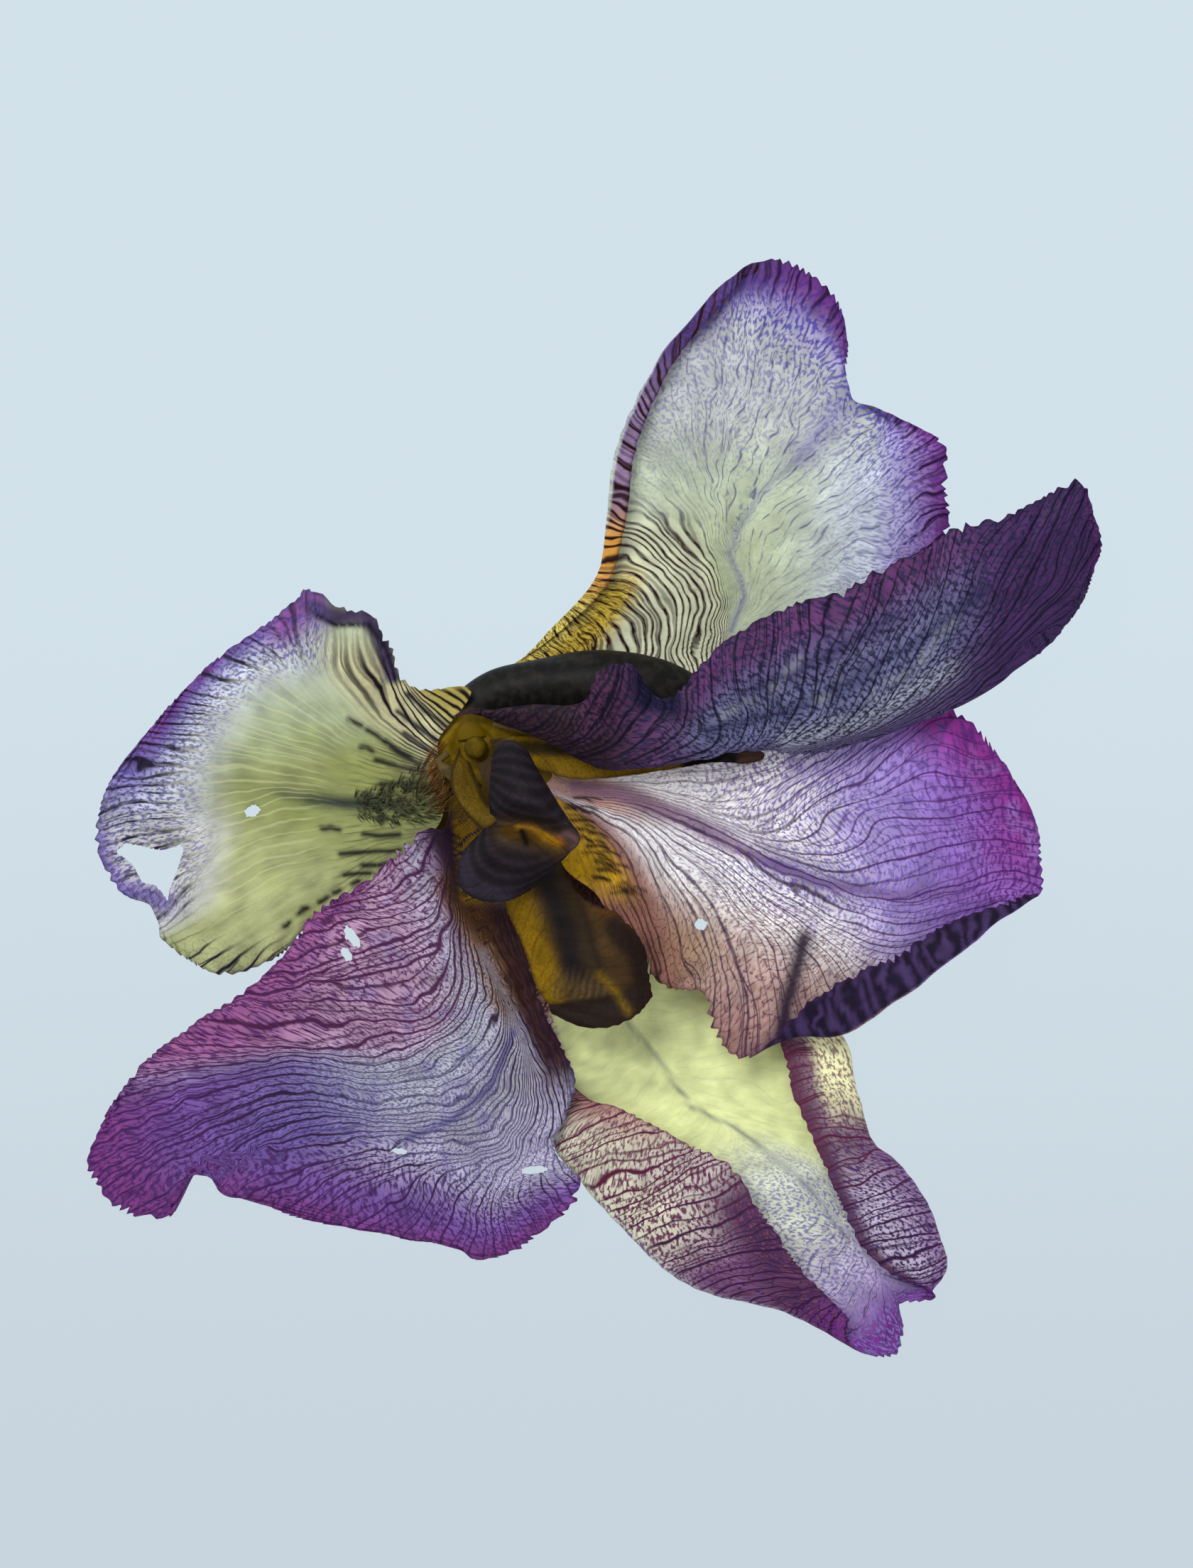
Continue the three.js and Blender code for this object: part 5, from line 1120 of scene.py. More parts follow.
standardLeft = {
    "seat": (petalSeat, 229, 268, 7.4), "seed": 61, "drift": 0.4, "teeth": 1.4, "ruffle": 0.4, "pleat": 0.12,
    "crumple": 0.18,
    "ribs": [
        [-20.6, -2.4, 10.6, -19.6, -3, 9.8, -18.6, -3.4, 9.2, -17.4, -3.8, 8.8,
         -16.2, -4.2, 8.8, -15, -4.6, 9, -13.9, -5, 9.5],
        [-23.6, -3, 11, -21.8, -6, 10, -19.8, -8.6, 9, -17.4, -10.4, 8.2,
         -15.2, -11.6, 8, -13.4, -12.6, 8.4, -11.8, -13.4, 9.4],
        [-28.6, -6.8, 10.4, -26, -11.4, 9.4, -22.2, -15.6, 8, -18, -18.4, 7,
         -14.6, -19.6, 6.8, -12, -20, 7.6, -9.8, -20.2, 9],
        [-34.6, -12, 9.4, -31.6, -17.6, 8.6, -26.8, -22.8, 7.2, -20.4, -26.4, 6,
         -14.4, -28, 5.8, -10.4, -28.6, 6.6, -6.4, -28.8, 8],
        [-40.6, -18, 8.4, -37.6, -24, 7.8, -32, -29.8, 6.2, -24, -34.2, 4.8,
         -15.6, -37, 4.6, -9, -38.4, 5.2, -2.6, -39, 6.4],
        [-48, -25, 7, -45, -30.4, 6.8, -39, -36, 5.2, -30.6, -40.6, 4,
         -20, -45, 3.4, -12, -47.4, 3.8, -5.4, -47.6, 5],
        [-56, -30.2, 5.2, -53, -35.6, 5.2, -47, -41, 4.2, -38, -46, 3.2,
         -27, -51.4, 2.4, -16.5, -54.6, 2.4, -1.4, -53.6, 5.6],
        [-63, -35.8, 3.6, -60, -41, 3.8, -54.4, -45.6, 3.2, -46, -50.6, 2.4,
         -36, -55.4, 1.4, -25, -59, 1, -11, -62, 1.6],
        [-68.4, -42.4, 2.4, -70, -49, 2, -66.4, -55.8, 1.2, -60, -57, .7,
         -52, -54.6, .5, -40, -58, .4, -24, -61, .4],
    ],
    "veins": [
        [-22.3, -3.3, -24.1, -4.4, -26.1, -6.4, -28.5, -8.6, -31.4, -10.7, -34.3, -12.7],
        [-21.9, -3.7, -22.8, -6.9, -25.2, -11, -29, -13.6, -33.3, -14.6, -38.1, -15],
        [-21.4, -4.5, -21.4, -10, -23.3, -15.5, -28.5, -16.9, -35.7, -17.4, -42, -18.3],
        [-20.9, -4.9, -20.9, -12.2, -22.3, -18.8, -28, -20.2, -37.1, -22.1, -46.7, -23.1],
        [-20.4, -5.9, -20, -15, -21.4, -21.7, -27.6, -24.5, -38.1, -25, -49.1, -26.5],
        [-20, -6.9, -19.5, -17.4, -20.9, -24.5, -27.1, -28.4, -39, -28.4, -53, -27.4],
        [-19.7, -7.8, -18.8, -19.8, -20.4, -27.4, -27.6, -31.2, -40, -31.2, -57.2, -30.8],
        [-19.5, -8.8, -17.6, -22.1, -20, -29.8, -28.5, -33.6, -42, -33.6, -63.5, -36],
        [-19.2, -9.7, -16.1, -24.1, -19, -32.2, -29, -35.5, -43.4, -35, -67.3, -40.8],
        [-19, -10.7, -14.2, -25.9, -17.6, -34.6, -28.5, -37.9, -44.3, -36.9, -69.2, -45.1],
        [-18.8, -11.6, -13, -27.6, -16.6, -37.4, -27.6, -40.8, -44.8, -39.8, -69.9, -50.9],
        [-18.5, -12.6, -12, -29.1, -15.7, -39.8, -26.1, -43.2, -43.9, -42.7, -66.3, -54.2],
        [-18.3, -13.6, -11.3, -30.5, -15, -41.7, -24.7, -44.6, -42, -44.6, -61.1, -57.6],
        [-18, -14.5, -10.6, -31.9, -14.2, -43.4, -22.3, -45.8, -39, -46.3, -54.9, -50.4],
        [-17.8, -15.2, -10.1, -33.2, -13.3, -44.6, -20.4, -46.8, -33.3, -48, -50.5, -55],
        [-17.6, -15.9, -9.7, -34.3, -12.5, -45.8, -18.5, -48.2, -28.5, -50.4, -42, -57.6],
        [-17.3, -16.6, -9.2, -35.3, -11.8, -46.8, -16.6, -49.2, -23.8, -51.8, -32.2, -60.2],
        [-17.1, -17.4, -8.7, -36.2, -11.1, -47.5, -15.2, -50.1, -19.5, -53.7, -23.8, -61.2],
        [-16.6, -18.3, -8.2, -37.4, -10.6, -48, -13.3, -51.1, -15.7, -55.6, -16.6, -63.4],
        [-16.1, -19.3, -7.5, -38.9, -9.4, -48.7, -11.4, -51.6, -12.5, -55.6, -10.9, -61.4],
        [-15.2, -19.8, -6.5, -40.3, -7, -48.9, -8, -51.1, -8, -53, -5.6, -58.1],
        [-14.2, -19.8, -5.1, -40.8, -4.6, -48, -4.1, -50.6, -3.2, -51.6, -0.6, -54.2],
        [-12.8, -19.3, -4.6, -37.4, -3.7, -43.2, -3.2, -46.3, -2.9, -48.2, -2.2, -50.1],
        [-10.9, -18.3, -4.6, -32.7, -3.2, -37, -2.2, -40.8, -1.8, -43.2, -1.3, -45.6],
    ],
    "counts": [0, 1.5, 3, 4.5, 6, 7.5, 9, 10.5, 12.5, 15, 18, 21, 24, 26.5, 29, 31.5, 34, 36, 38, 40, 42, 44,
               46, 49],
    "pulls": [(-55.6, -55.6, 0.3, 5.6, 2.4), (-61, -57.2, 0.6, -0.4, 2.0), (-69, -50, -0.9, -0.8, 3.0),
              (-15.5, -62, -0.6, -1.1, 3.0), (-10.2, -18.5, 1.1, 0.3, 2.8), (-38.5, -16.5, -0.6, 1.2, 4.5)],
    "density": 0.75,
    "holes": [oval(-33.8, -18.0, 1.7, 0.75, -55), oval(-34.6, -20.4, 1.1, 0.6, -50),
              oval(-27.2, -48.2, 1.1, 0.35, -5), oval(-8.3, -50.8, 1.9, 0.6, 5)],
    "look": {"width": 0.17, "opens": 1.2, "cells": 3.6, "cellLength": 0.7},
}


def paintStandardLeft(place):
    x, y, share, vein, way = place["x"], place["y"], place["share"], place["vein"], place["way"]
    paint = Paint(place, "b0aabc", "23102a", "56468a")
    # the pale grey swirl along the fold: its own colour with a painted highlight on it
    paint.ground("b2b4ba", paint.stroke([(-16, -22), (-17, -32), (-26, -39), (-36, -38)], 5.5))
    paint.ground("a2a0a6", paint.stroke([(-10.5, -30), (-10.5, -38), (-18, -44)], 3.5))
    paint.ground("b090a8", ease(vein, 8.5, 6) * ease(way, 0.3, 0.6))
    paint.ground("96588a", ease(vein, 8.5, 6.5) * ease(way, 0.7, 0.95))
    paint.spot("6a3a6c", ease(vein, 8.5, 6))
    paint.ground("7c6680", ease(way, 0.34, 0.12) * ease(vein, 10, 4))
    paint.ground("7c70a0", ease(way, 0.62, 0.8) * ease(vein, 6.5, 9) * ease(vein, 14.5, 12.5))
    paint.ground("725096", ease(way, 0.72, 0.92) * ease(vein, 7, 9))
    paint.ground("7c3a7c", ease(way, 0.9, 1.0) * ease(vein, 7, 9))
    paint.ground("5e5494", 0.6 * paint.near(-44, -46, 5.5, 2.2, 20))
    blotches = ease(softNoise(x, y, 2.6, 91), 0.1, 0.9) * ease(way, 0.2, 0.4) * ease(way, 0.85, 0.7)
    paint.ground("8078a8", 0.5 * blotches)
    paint.ground("645090", 0.3 * paint.near(-22, -57, 4, 2.4, -8))
    paint.spot("4e2c66", ease(way, 0.7, 0.9))
    paint.ground("3c2c40", ease(way, 0.16, 0.02) * ease(vein, 14, 8))
    # the brown base and what shows of the yellow inside
    tan = paint.stroke([(-18.6, -11), (-14.6, -18), (-11.4, -26)], 3.6, 4)
    paint.ground("86603e", tan)
    paint.ground("4e3216", paint.stroke([(-19, -11.5), (-15.5, -15.5), (-12.6, -18.5)], 2.6, 4))
    base = np.maximum(paint.stroke([(-20.5, -1), (-19, -6), (-17.4, -10)], 3.2, 4), ease(share, 0.16, 0.08))
    paint.ground("2e1c26", base)
    paint.spot("1a0e12", np.maximum(base, tan))
    inside = ease(x + 0.1 * y, -20.6, -19.4) * ease(y, -14, -12.4)
    paint.ground("7a5e08", inside)
    paint.spot("4e3a06", inside)
    for n in range(9):
        bar = [(-20.2 + 0.1 * n, -3.5 - n), (-18.7 + 0.1 * n, -4.2 - n)]
        paint.ground("160e0a", 0.9 * paint.stroke(bar, 0.24))
    paint.vein("2a140c", tan)
    # a pale line on the swirl's ridge, partly its colour and partly painted highlight
    paint.ground("9c96a4", 0.7 * paint.stroke([(-15.6, -20.4), (-12.6, -26), (-9, -32), (-6.6, -38)], 1.0))
    border = ease(place["high"], 5.6, 3.2) * ease(y, -43, -35) * ease(y, -11, -15)
    paint.ground("38211e", border)
    paint.spot("1a0c14", border)
    # painted shade: a dark blue line in the swirl's valley
    grooveShade = [(-11.2, -31.4), (-14.4, -38.9), (-19.8, -43.7), (-26.2, -46.4)]
    paint.ground("3a3674", 0.8 * paint.stroke(grooveShade, 0.5))
    swirl = ease(way, 0.25, 0.4) * ease(way, 0.8, 0.65) * ease(vein, 7, 9)
    paint.vein("34345e", 0.8 * swirl)
    paint.vein("4a1a46", 0.8 * ease(vein, 9, 6.5) * ease(way, 0.1, 0.35))
    paint.vein("46205c", 0.7 * ease(way, 0.75, 0.95) * ease(vein, 7, 9))
    paint.lines = 0.96 - 0.12 * swirl
    paint.net = 0.6 + 0.35 * ease(vein, 9, 6)
    paint.spots = 0.7 + 0.2 * ease(way, 0.5, 0.8)
    paint.breaks = 0.3 * swirl
    paint.bold = 1.2 + 0.4 * ease(vein, 8, 5)
    return paint


makePetal("petal_standard_left", standardLeft, paintStandardLeft, "standard_petal", "standard_left")


# Style arms

styleFlow = {"turn": 1.5, "power": 0.7, "spacing": 3.0}
styleLower = {
    "seat": (styleSeat, 345, 275, 12), "seed": 71, "teeth": 0.5, "ruffle": 0.2, "pleat": 0.05, "crumple": 0.1,
    "flow": styleFlow,
    "ribs": [
        [-8, 1, 13.4, -9.2, -.4, 14, -10.6, -1.6, 14.2, -12, -2.4, 14, -13.4, -3, 13.4],
        [-4.6, -8, 12.8, -6.6, -9, 13.8, -8.6, -10, 14.2, -10.8, -11, 13.8, -12.8, -12, 12.6],
        [-.8, -13.6, 12.2, -2.8, -15.4, 13.4, -5, -17, 13.8, -7.6, -18.2, 13.2, -10, -19, 11.8],
        [4.6, -16.4, 11.8, 2, -20, 13.2, -1.4, -22.4, 13.6, -5, -24, 12.8, -8, -25, 11.2],
        [7.4, -22.6, 11.4, 5, -25, 12.8, 1, -27, 13.2, -3, -27.6, 12.4, -6.6, -27.2, 10.8],
        [8.2, -26.4, 12.4, 6, -29, 13.8, 2.4, -30.6, 13.8, -2, -30.4, 12.8, -6, -28.6, 11.8],
    ],
    "pulls": [(1.6, -14, 1.3, 0.5, 3.0), (6.4, -19.5, 0.8, 0.4, 3.0)],
}
styleRight = {
    "seat": (styleSeat, 30, -12, 10.6), "seed": 81, "teeth": 0.3, "ruffle": 0.1, "pleat": 0.03,
    "crumple": 0.05,
    "flow": styleFlow,
    "ribs": [
        [-11.4, 10, 10, -11, 9.2, 10, -10.8, 8.4, 10, -10.8, 7.4, 10, -11, 6.4, 10.1],
        [-8, 10, 8.4, -7.8, 9.2, 8.2, -7.6, 8.2, 8.2, -7.6, 6.8, 8.2, -7.8, 5.4, 8.4],
        [-2, 10.2, 7.9, -1.8, 9, 7.8, -1.8, 7.6, 7.8, -2, 5.8, 7.9, -2.4, 4, 8.2],
        [6, 10.2, 7.6, 6, 9, 7.6, 6, 7.6, 7.6, 5.6, 6, 7.7, 5, 4.6, 8],
        [12, 9.4, 7.4, 12.4, 8.6, 7.4, 12.8, 7.6, 7.4, 12.8, 6.6, 7.5, 12, 5.6, 7.8],
        [16.6, 9, 7.3, 17.4, 8.4, 7.3, 18, 7.8, 7.3, 18, 7, 7.4, 17, 6.4, 7.6],
        [21.4, 8.6, 7.2, 22.8, 8.2, 7.2, 24, 7.6, 7.2, 23.6, 6.8, 7.3, 21.6, 6.2, 7.4],
    ],
}
styleUpStalk = {
    "seat": (styleSeat, 180, 250, 12.4), "seed": 91, "teeth": 0.1, "ruffle": 0.0, "pleat": 0.0,
    "crumple": 0.05,
    "flow": styleFlow,
    "ribs": [
        [-20, 4.4, 14, -19, 3.8, 14.6, -18, 3.6, 14.8, -17, 3.6, 14.6, -16.2, 3.8, 14.2],
        [-18.8, .6, 16.4, -17.8, .4, 17, -16.6, .2, 17.2, -15.6, .4, 17, -14.8, .8, 16.6],
        [-15.4, -3.2, 18, -14.6, -2.6, 18.6, -13.8, -2, 18.8, -13, -1.2, 18.6, -12.4, -.4, 18.2],
    ],
}
styleUpCrest = {
    "seat": None, "seed": 95, "teeth": 0.25, "ruffle": 0.0, "pleat": 0.06, "crumple": 0.08,
    "flow": styleFlow,
    "ribs": [
        [-14, 7.6, 16, -13, 9, 17, -11.4, 9.4, 17.4, -9.4, 8, 17, -8.4, 6.4, 16],
        [-14.4, 4, 18, -12.4, 4.8, 20.4, -10, 4.6, 21.4, -7.6, 3.6, 20.4, -6, 2.4, 18],
        [-14.6, .6, 18.2, -12, 1, 21.4, -9, .8, 22.6, -6.2, -.2, 21.4, -3.6, -1.4, 19],
        [-14.4, -1.6, 18, -12, -2, 19.4, -8.8, -2.6, 19.2, -5.2, -3.4, 18.8, -1.8, -4.2, 19.4],
        [-15.6, -3.2, 18.2, -13.6, -4, 21.2, -10.4, -5.2, 21.8, -7, -6.2, 20.8, -3.6, -6.4, 19],
        [-18.4, -6.4, 17.6, -16, -7.6, 20, -12.6, -8.6, 20.6, -9.2, -9.4, 19.6, -6.4, -9.2, 17.6],
        [-19.2, -10.6, 16, -17.2, -12.2, 17.2, -14.4, -13, 17.4, -11.4, -12.6, 16.8, -9, -11.4, 16],
    ],
}


def paintStyleArm(place):
    x, y = place["x"], place["y"]
    # the near-black browns are the style arms' own colour darkened by painted shade, where the centre's
    # stacked layers hold back the light from below
    paint = Paint(place, "3e2c14", "140c08", "2a1a0c")
    leftBand = [(-14, -4), (-12.4, -9), (-10.6, -14), (-8, -21), (-6.4, -26)]
    paint.ground("7c5e06", paint.stroke(leftBand, 2.6, 4))
    paint.ground("121012", paint.stroke([(-9.5, -4), (-6.3, -9.8), (-4.0, -16), (-2.6, -22)], 1.9, 4))
    paint.ground("2c2216", 0.7 * paint.stroke([(-4.4, -9.5), (-1.6, -16), (0, -23)], 1.5))
    paint.ground("0e0c0e", 0.5 * paint.stroke([(-3.2, -9), (-0.9, -16), (0.8, -22)], 0.55))
    paint.ground("4a3418", 0.8 * paint.stroke([(-1.4, -11), (1.2, -16), (2.2, -20)], 1.2))
    paint.ground("80501a", paint.stroke([(-0.8, -9.8), (2.2, -13), (5.0, -16.4)], 1.4))
    paint.ground("1e120e", paint.stroke([(3.2, -16.5), (6.4, -20.5), (7.4, -24.5), (5.4, -26.4)], 1.9, 4))
    fringe = ease(y, -21.6, -25) * ease(y, -27, -26.2) * ease(x, 3, 1) * ease(x, -6.5, -5.5)
    comb = 0.5 + 0.5 * np.sin((x - 0.3 * y) * 6.5 + 2 * softNoise(x, y, 2.0, 3))
    paint.ground("54452c", 0.8 * fringe * comb)
    paint.ground("1e120e", ease(y - 0.15 * x, -26, -26.8))
    paint.ground("6e5408", 0.9 * paint.stroke([(0.8, -23.2), (3.2, -25.8), (4.8, -28.4)], 0.6))
    right = ease(y - 0.1 * x, 3.4, 4.4) * ease(x, -13, -11)
    paint.ground("7c6006", right)
    paint.ground("1c160c", 0.9 * paint.stroke([(-11, 8.6), (-4, 8.2), (2, 7.8), (6, 8)], 1.1, 4))
    paint.ground("100b0a", ease(x, 11, 13))
    paint.ground("4a342a", ease(x, 19.6, 20.8))
    paint.lines = 0.25
    paint.spots = 0.3
    return paint


def paintStalk(place):
    paint = Paint(place, "5c4706", "2e2006", "3a2a06")
    paint.ground("2e2208", ease(place["rim"], 0.9, 0.3))
    paint.lines = 0.3
    paint.spots = 0.5
    return paint


def paintCrest(place):
    # the near-black hoods: their own colour darkened by painted shade in the crowded centre
    paint = Paint(place, "171216", "060506", "1f1a1f")
    band = 0.5 + 0.5 * np.sin(place["down"] * 2.6 + 0.25 * np.abs(place["off"]) ** 2)
    paint.ground("2c242b", 0.8 * band**2)
    # the violet-grey lower rim, with a painted highlight on it
    paint.ground("3a3242", 0.6 * paint.stroke([(-18.5, -7), (-17, -11), (-12, -12.6)], 1.4))
    paint.ground("4a340c", paint.stroke([(-12, -3.2), (-8.6, -3.8), (-4.8, -5.2)], 1.7))
    paint.ground("8a620a", paint.stroke([(-10.4, -2.6), (-8.6, -2.6), (-6.4, -4.2)], 0.5))
    paint.ground("9a6c0c", paint.stroke([(-6.6, -4.0), (-5, -4.8)], 0.6))
    # painted shade in the keyhole between the lobes
    paint.ground("080605", paint.stroke([(-10.0, -3.2), (-9.4, -4.8)], 0.5))
    paint.ground("7a4212", paint.stroke([(-5.0, -4.2), (-4.4, -4.9)], 0.35))
    paint.ground("5c4040", paint.stroke([(-3.8, -3.4), (-2, -4.4), (-3.2, -6.4)], 0.6))
    paint.lines = 0.3
    paint.spots = 0.25
    return paint


styleParts = [
    ("style_arm_lower_blade", styleLower, paintStyleArm, "style_arm_lower", 100, 70),
    ("style_arm_right_blade", styleRight, paintStyleArm, "style_arm_right", 90, 40),
    ("style_arm_up_stalk", styleUpStalk, paintStalk, "style_arm_up", 40, 30),
    ("style_arm_up_crest", styleUpCrest, paintCrest, "style_arm_up", 100, 70),
]
for name, petal, paintIt, node, rows, columns in styleParts:
    makePetal(name, petal, paintIt, "style_arm", node, rows=rows, columns=columns)


# Ovary, tube and throat

def opaque(code):
    return tuple(hexColour(code)) + (1.0,)


def waxMaterial(name, ground, fleck, roughness, inThroat=None):
    material, ink = newInk(name)
    streaks = ink.noise(ink.ownPlace(), 700.0, 4.0)
    skin = ink.mix(opaque(ground), opaque(fleck), streaks.ease(0.4, 0.7))
    if inThroat:
        skin = ink.mix(skin, opaque(inThroat), ink.field("throat"))
    bump = ink.node("ShaderNodeBump", None, {"Strength": 0.3, "Distance": 0.0002, "Height": streaks})
    ink.finish(Base_Color=skin, Roughness=roughness, Normal=bump, Specular_IOR_Level=0.1)
    return material


ovary = {
    "stations": [[-17, 9.6, 5.4, 2.8], [-17.4, 13, 5.2, 3.3], [-13.6, 16, 5.2, 3.5], [-8, 17, 5.4, 3.9],
                 [0, 17.4, 6.2, 4.9], [8, 16.4, 6.2, 4.9], [14, 14.6, 5.6, 3.9], [19, 13.2, 5, 3.1]],
    "sides": 60, "steps": 120, "lobes": 0.02,
}
stations = curveAt(ovary["stations"], np.linspace(0, len(ovary["stations"]) - 1, ovary["steps"]))
tubePoints, tubeFaces = tubeMesh(stations[:, :3], stations[:, 3], ovary["sides"], lobes=ovary["lobes"])
inThroat = {"throat": ease(tubePoints[:, 1] + 0.3 * tubePoints[:, 0], 9.4, 7.6)}
makePiece("ovary_with_tube", tubePoints, tubeFaces, inThroat,
          waxMaterial("ovary_skin", "131211", "25221f", 0.5, "6a5404"), "ovary", "ovary_and_tube")


def turned(profile, leanX=0.0, leanY=0.0):
    # a sheet turned round the throat's axis, from rows of radius, height and share of the lean
    sides = 72
    k = np.arange(sides)
    angles = k * 2 * np.pi / sides
    rings = [np.stack([throat["x"] + leanX * part + radius * np.cos(angles),
                       throat["y"] + leanY * part + radius * np.sin(angles),
                       np.full(sides, height)], 1) for radius, height, part in profile]
    quads = [np.stack([k, (k + 1) % sides, sides + (k + 1) % sides, sides + k], 1) + n * sides
             for n in range(len(profile) - 1)]
    return np.concatenate(rings), np.concatenate(quads)


lining = {
    # from the seat of the style column out over the rim of the tube, and back below to close the sheet
    "profile": [(1.5, 7.4, 0), (2.6, 7.2, 0), (3.8, 8.4, 0), (4.8, 8.4, 0.1), (6.6, 7.2, 0.3),
                (8.8, 5.9, 0.6),
                (11.2, 5.0, 0.9), (12.6, 4.6, 1), (12.6, 4.3, 1), (8.8, 5.5, 0.6), (5.2, 7.6, 0.1),
                (4.6, 6, 0),
                (4.4, 2.2, 0), (3.2, 1.0, 0), (0.1, 1.0, 0)],
    "leanX": 2.6, "leanY": -5.0,
}
column = {"profile": [(1.6, 7, 0), (1.6, 10.4, 0), (1.5, 11.5, 0), (1.2, 12.0, 0), (0.6, 12.3, 0),
                      (0.05, 12.35, 0)]}
makePiece("throat_lining", *turned(**lining), {}, waxMaterial("throat_skin", "5f4a02", "7c6206", 0.6),
          "ovary")
# the column's olive is darker than the lining's: painted shade of the deep throat over its lit top
makePiece("style_column", *turned(**column), {}, waxMaterial("column_skin", "4a3a04", "624d06", 0.7), "ovary")
print("ovary and throat")


# Stamens

stamens = {
    "stamen_left": [[-20.5, 7.6, 10.2, .5], [-21.6, 6.4, 11, .5], [-20.4, 5.2, 11.8, .9], [-18.4, 4.2, 12, 1],
                    [-15.8, 2.8, 11.8, .5]],
    "stamen_lower": [[-14.2, 4.7, 10.2, .5], [-12, .6, 11.2, .5], [-10, -3, 11.5, .8], [-7, -8.4, 11.6, .8],
                     [-5.6, -12, 11.5, .4]],
    "stamen_right": [[-14.1, 11.9, 10.1, .4], [-11.6, 11.2, 9.7, .4], [-7, 10.4, 9.3, .5], [-2, 9.4, 9, .5],
                     [3, 8.4, 8.9, .3]],
}
pollen = waxMaterial("pollen", "584a2a", "3a2f18", 0.8)
for name, path in stamens.items():
    line = curveAt(path, np.linspace(0, len(path) - 1, 40))
    points, faces = tubeMesh(line[:, :3], line[:, 3], 16)
    makePiece(name + "_anther", points, faces, {}, pollen, "stamen", name)
print("stamens")


# Beard

def hairMaterial():
    material, ink = newInk("beard_hair")
    ink.finish(Base_Color=ink.field("hairColour", "Color"), Roughness=0.6, Specular_IOR_Level=0.2)
    return material


# from and to are ribs of the left fall, and middle is where the beard's middle crosses ribs 1 to 3
beard = {"hairs": 640, "from": 0.7, "to": 2.7, "crowding": 1.4, "middle": [1.8, 2.15, 2.75], "wide": 1.5,
         "narrowing": 1.2, "long": 3.6, "radius": 0.11, "thinning": 0.8, "joints": 6, "sunk": 0.15}


def makeBeard():
    draw = np.random.default_rng(5)
    net = readNet(fallLeft["seat"], fallLeft["ribs"])
    points, faces, colours, start = [], [], [], 0
    for _ in range(beard["hairs"]):
        part = draw.random() ** beard["crowding"]
        along = beard["from"] + (beard["to"] - beard["from"]) * part
        side = draw.uniform(-1, 1)
        across = np.interp(along, [1, 2, 3], beard["middle"]) + side * (beard["wide"] - beard["narrowing"]
                                                                        * part)
        root, back, out = netAt(net, np.array([along, along - 0.1, along]),
                                np.array([across, across, across + 0.1]))
        toBase, toSide = (back - root) / np.linalg.norm(back - root), (out - root) / np.linalg.norm(out
                                                                                                    - root)
        front = ease(part, 0.3, 0.0)
        lean = np.array([0, 0, 0.6 - 0.3 * front]) + toBase * (0.3 + 1.4 * front) * draw.uniform(0.4, 1)
        lean = lean + toSide * (0.6 * side + draw.normal(0, 0.3))
        reach = beard["long"] * (0.5 + 0.6 * front) * draw.uniform(0.7, 1.2)
        s = np.linspace(0, 1, beard["joints"])[:, None]
        bend = toBase * draw.uniform(0, 0.5) + np.array([0, 0, -0.3])
        line = root - [0, 0, beard["sunk"]] + reach * (lean / np.linalg.norm(lean) * s + bend * s * s * 0.6)
        hair, hairFaces = tubeMesh(line, beard["radius"] * (1 - beard["thinning"] * s[:, 0]), 3,
                                   up=(0.3, 0.9, 0.1))
        shade = np.clip(front + draw.normal(0, 0.15), 0, 1)
        colour = hexColour("454c3a") * (1 - shade) + hexColour("74480c") * shade
        points.append(hair)
        faces.append(hairFaces + start)
        colours.append(np.tile(colour * draw.uniform(0.25, 1.7), (len(hair), 1)))
        start += len(hair)
    fields = {"hairColour": np.concatenate(colours)}
    makePiece("beard_hairs", np.concatenate(points), np.concatenate(faces), fields, hairMaterial(),
              "fall_petal")
    print("beard")


makeBeard()


# Floor, light and camera

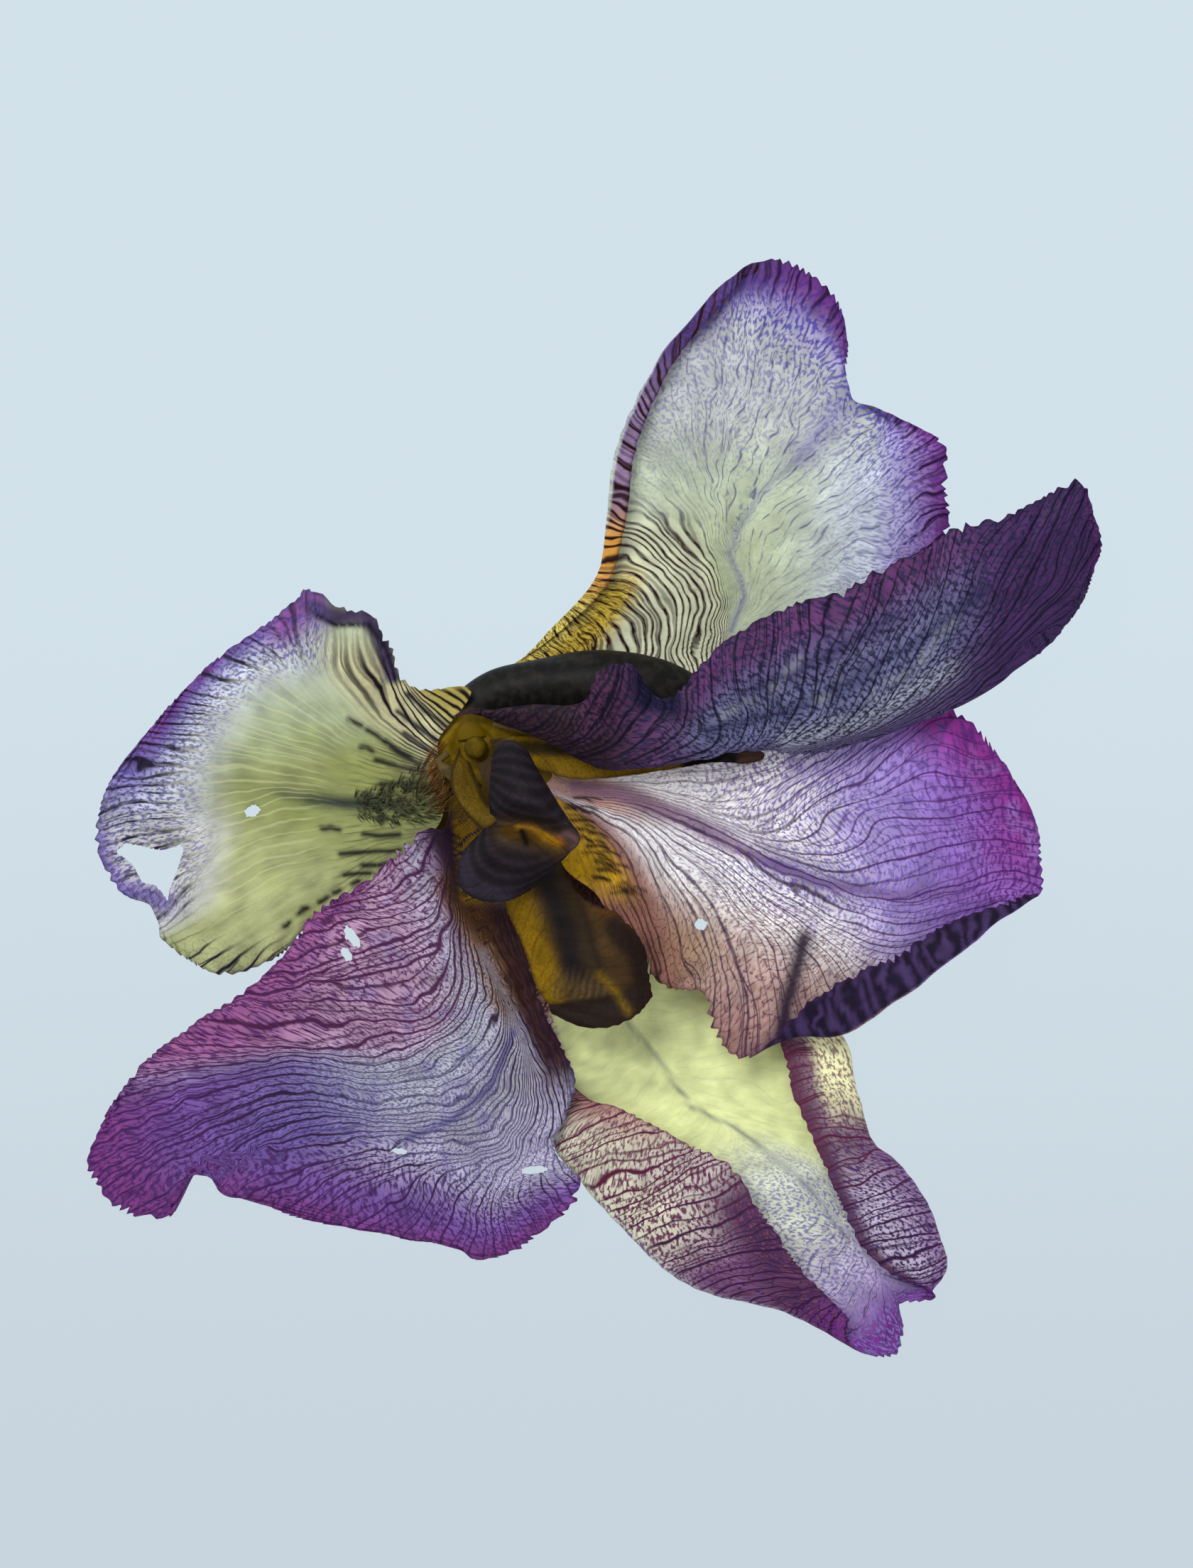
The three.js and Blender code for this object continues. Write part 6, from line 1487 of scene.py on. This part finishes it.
sky = {"colour": (0.9, 0.95, 1.0, 1.0), "strength": 0.5}
floorLook = {"half": 6.0, "below": 0.0002, "front": (0.57, 0.655, 0.72, 1.0),
             "back": (0.635, 0.745, 0.81, 1.0),
             "frontY": -0.1, "backY": 0.04}
lamps = {
    "key": {"place": (-0.35, 0.45, 0.9), "size": 0.6, "power": 8.2},
    "fill": {"place": (0.5, -0.4, 0.8), "size": 0.9, "power": 2.6},
}
view = {"distance": 1.4, "x": -0.00002, "y": 0.00341, "frameHeight": 0.2208, "sensor": 36.0}


def studio():
    world = bpy.data.worlds.new("studio")
    bpy.context.scene.world = world
    world.use_nodes = True
    background = world.node_tree.nodes["Background"]
    background.inputs["Color"].default_value = sky["colour"]
    background.inputs["Strength"].default_value = sky["strength"]
    reach = floorLook["half"]
    corners = [(-reach, -reach, 0), (reach, -reach, 0), (reach, reach, 0), (-reach, reach, 0)]
    mesh = bpy.data.meshes.new("floor")
    mesh.from_pydata(corners, [], [(0, 1, 2, 3)])
    floor = bpy.data.objects.new("floor", mesh)
    floor.location = (0, 0, -floorLook["below"])
    bpy.context.scene.collection.objects.link(floor)
    material, ink = newInk("pale_floor")
    upward = ink.node("ShaderNodeSeparateXYZ", None, {"Vector": ink.ownPlace()}, 1)
    glow = ink.mix(floorLook["front"], floorLook["back"],
                   upward.ease(floorLook["frontY"], floorLook["backY"]))
    ink.finish(Base_Color=(0.01, 0.01, 0.01, 1.0), Roughness=0.9, Specular_IOR_Level=0.0,
               Emission_Color=glow, Emission_Strength=1.0)
    mesh.materials.append(material)
    for name, settings in lamps.items():
        lamp = bpy.data.lights.new(name, "AREA")
        lamp.size, lamp.energy = settings["size"], settings["power"]
        holder = bpy.data.objects.new(name, lamp)
        holder.location = settings["place"]
        holder.rotation_euler = (-Vector(settings["place"])).to_track_quat("-Z", "Y").to_euler()
        bpy.context.scene.collection.objects.link(holder)


def placeCamera():
    lens = bpy.data.cameras.new("camera")
    lens.sensor_width = view["sensor"]
    lens.lens = view["sensor"] * view["distance"] / view["frameHeight"]
    holder = bpy.data.objects.new("camera", lens)
    holder.location = (view["x"], view["y"], view["distance"])
    bpy.context.scene.collection.objects.link(holder)
    bpy.context.scene.camera = holder


studio()
placeCamera()
bpy.context.scene.view_settings.view_transform = "Standard"
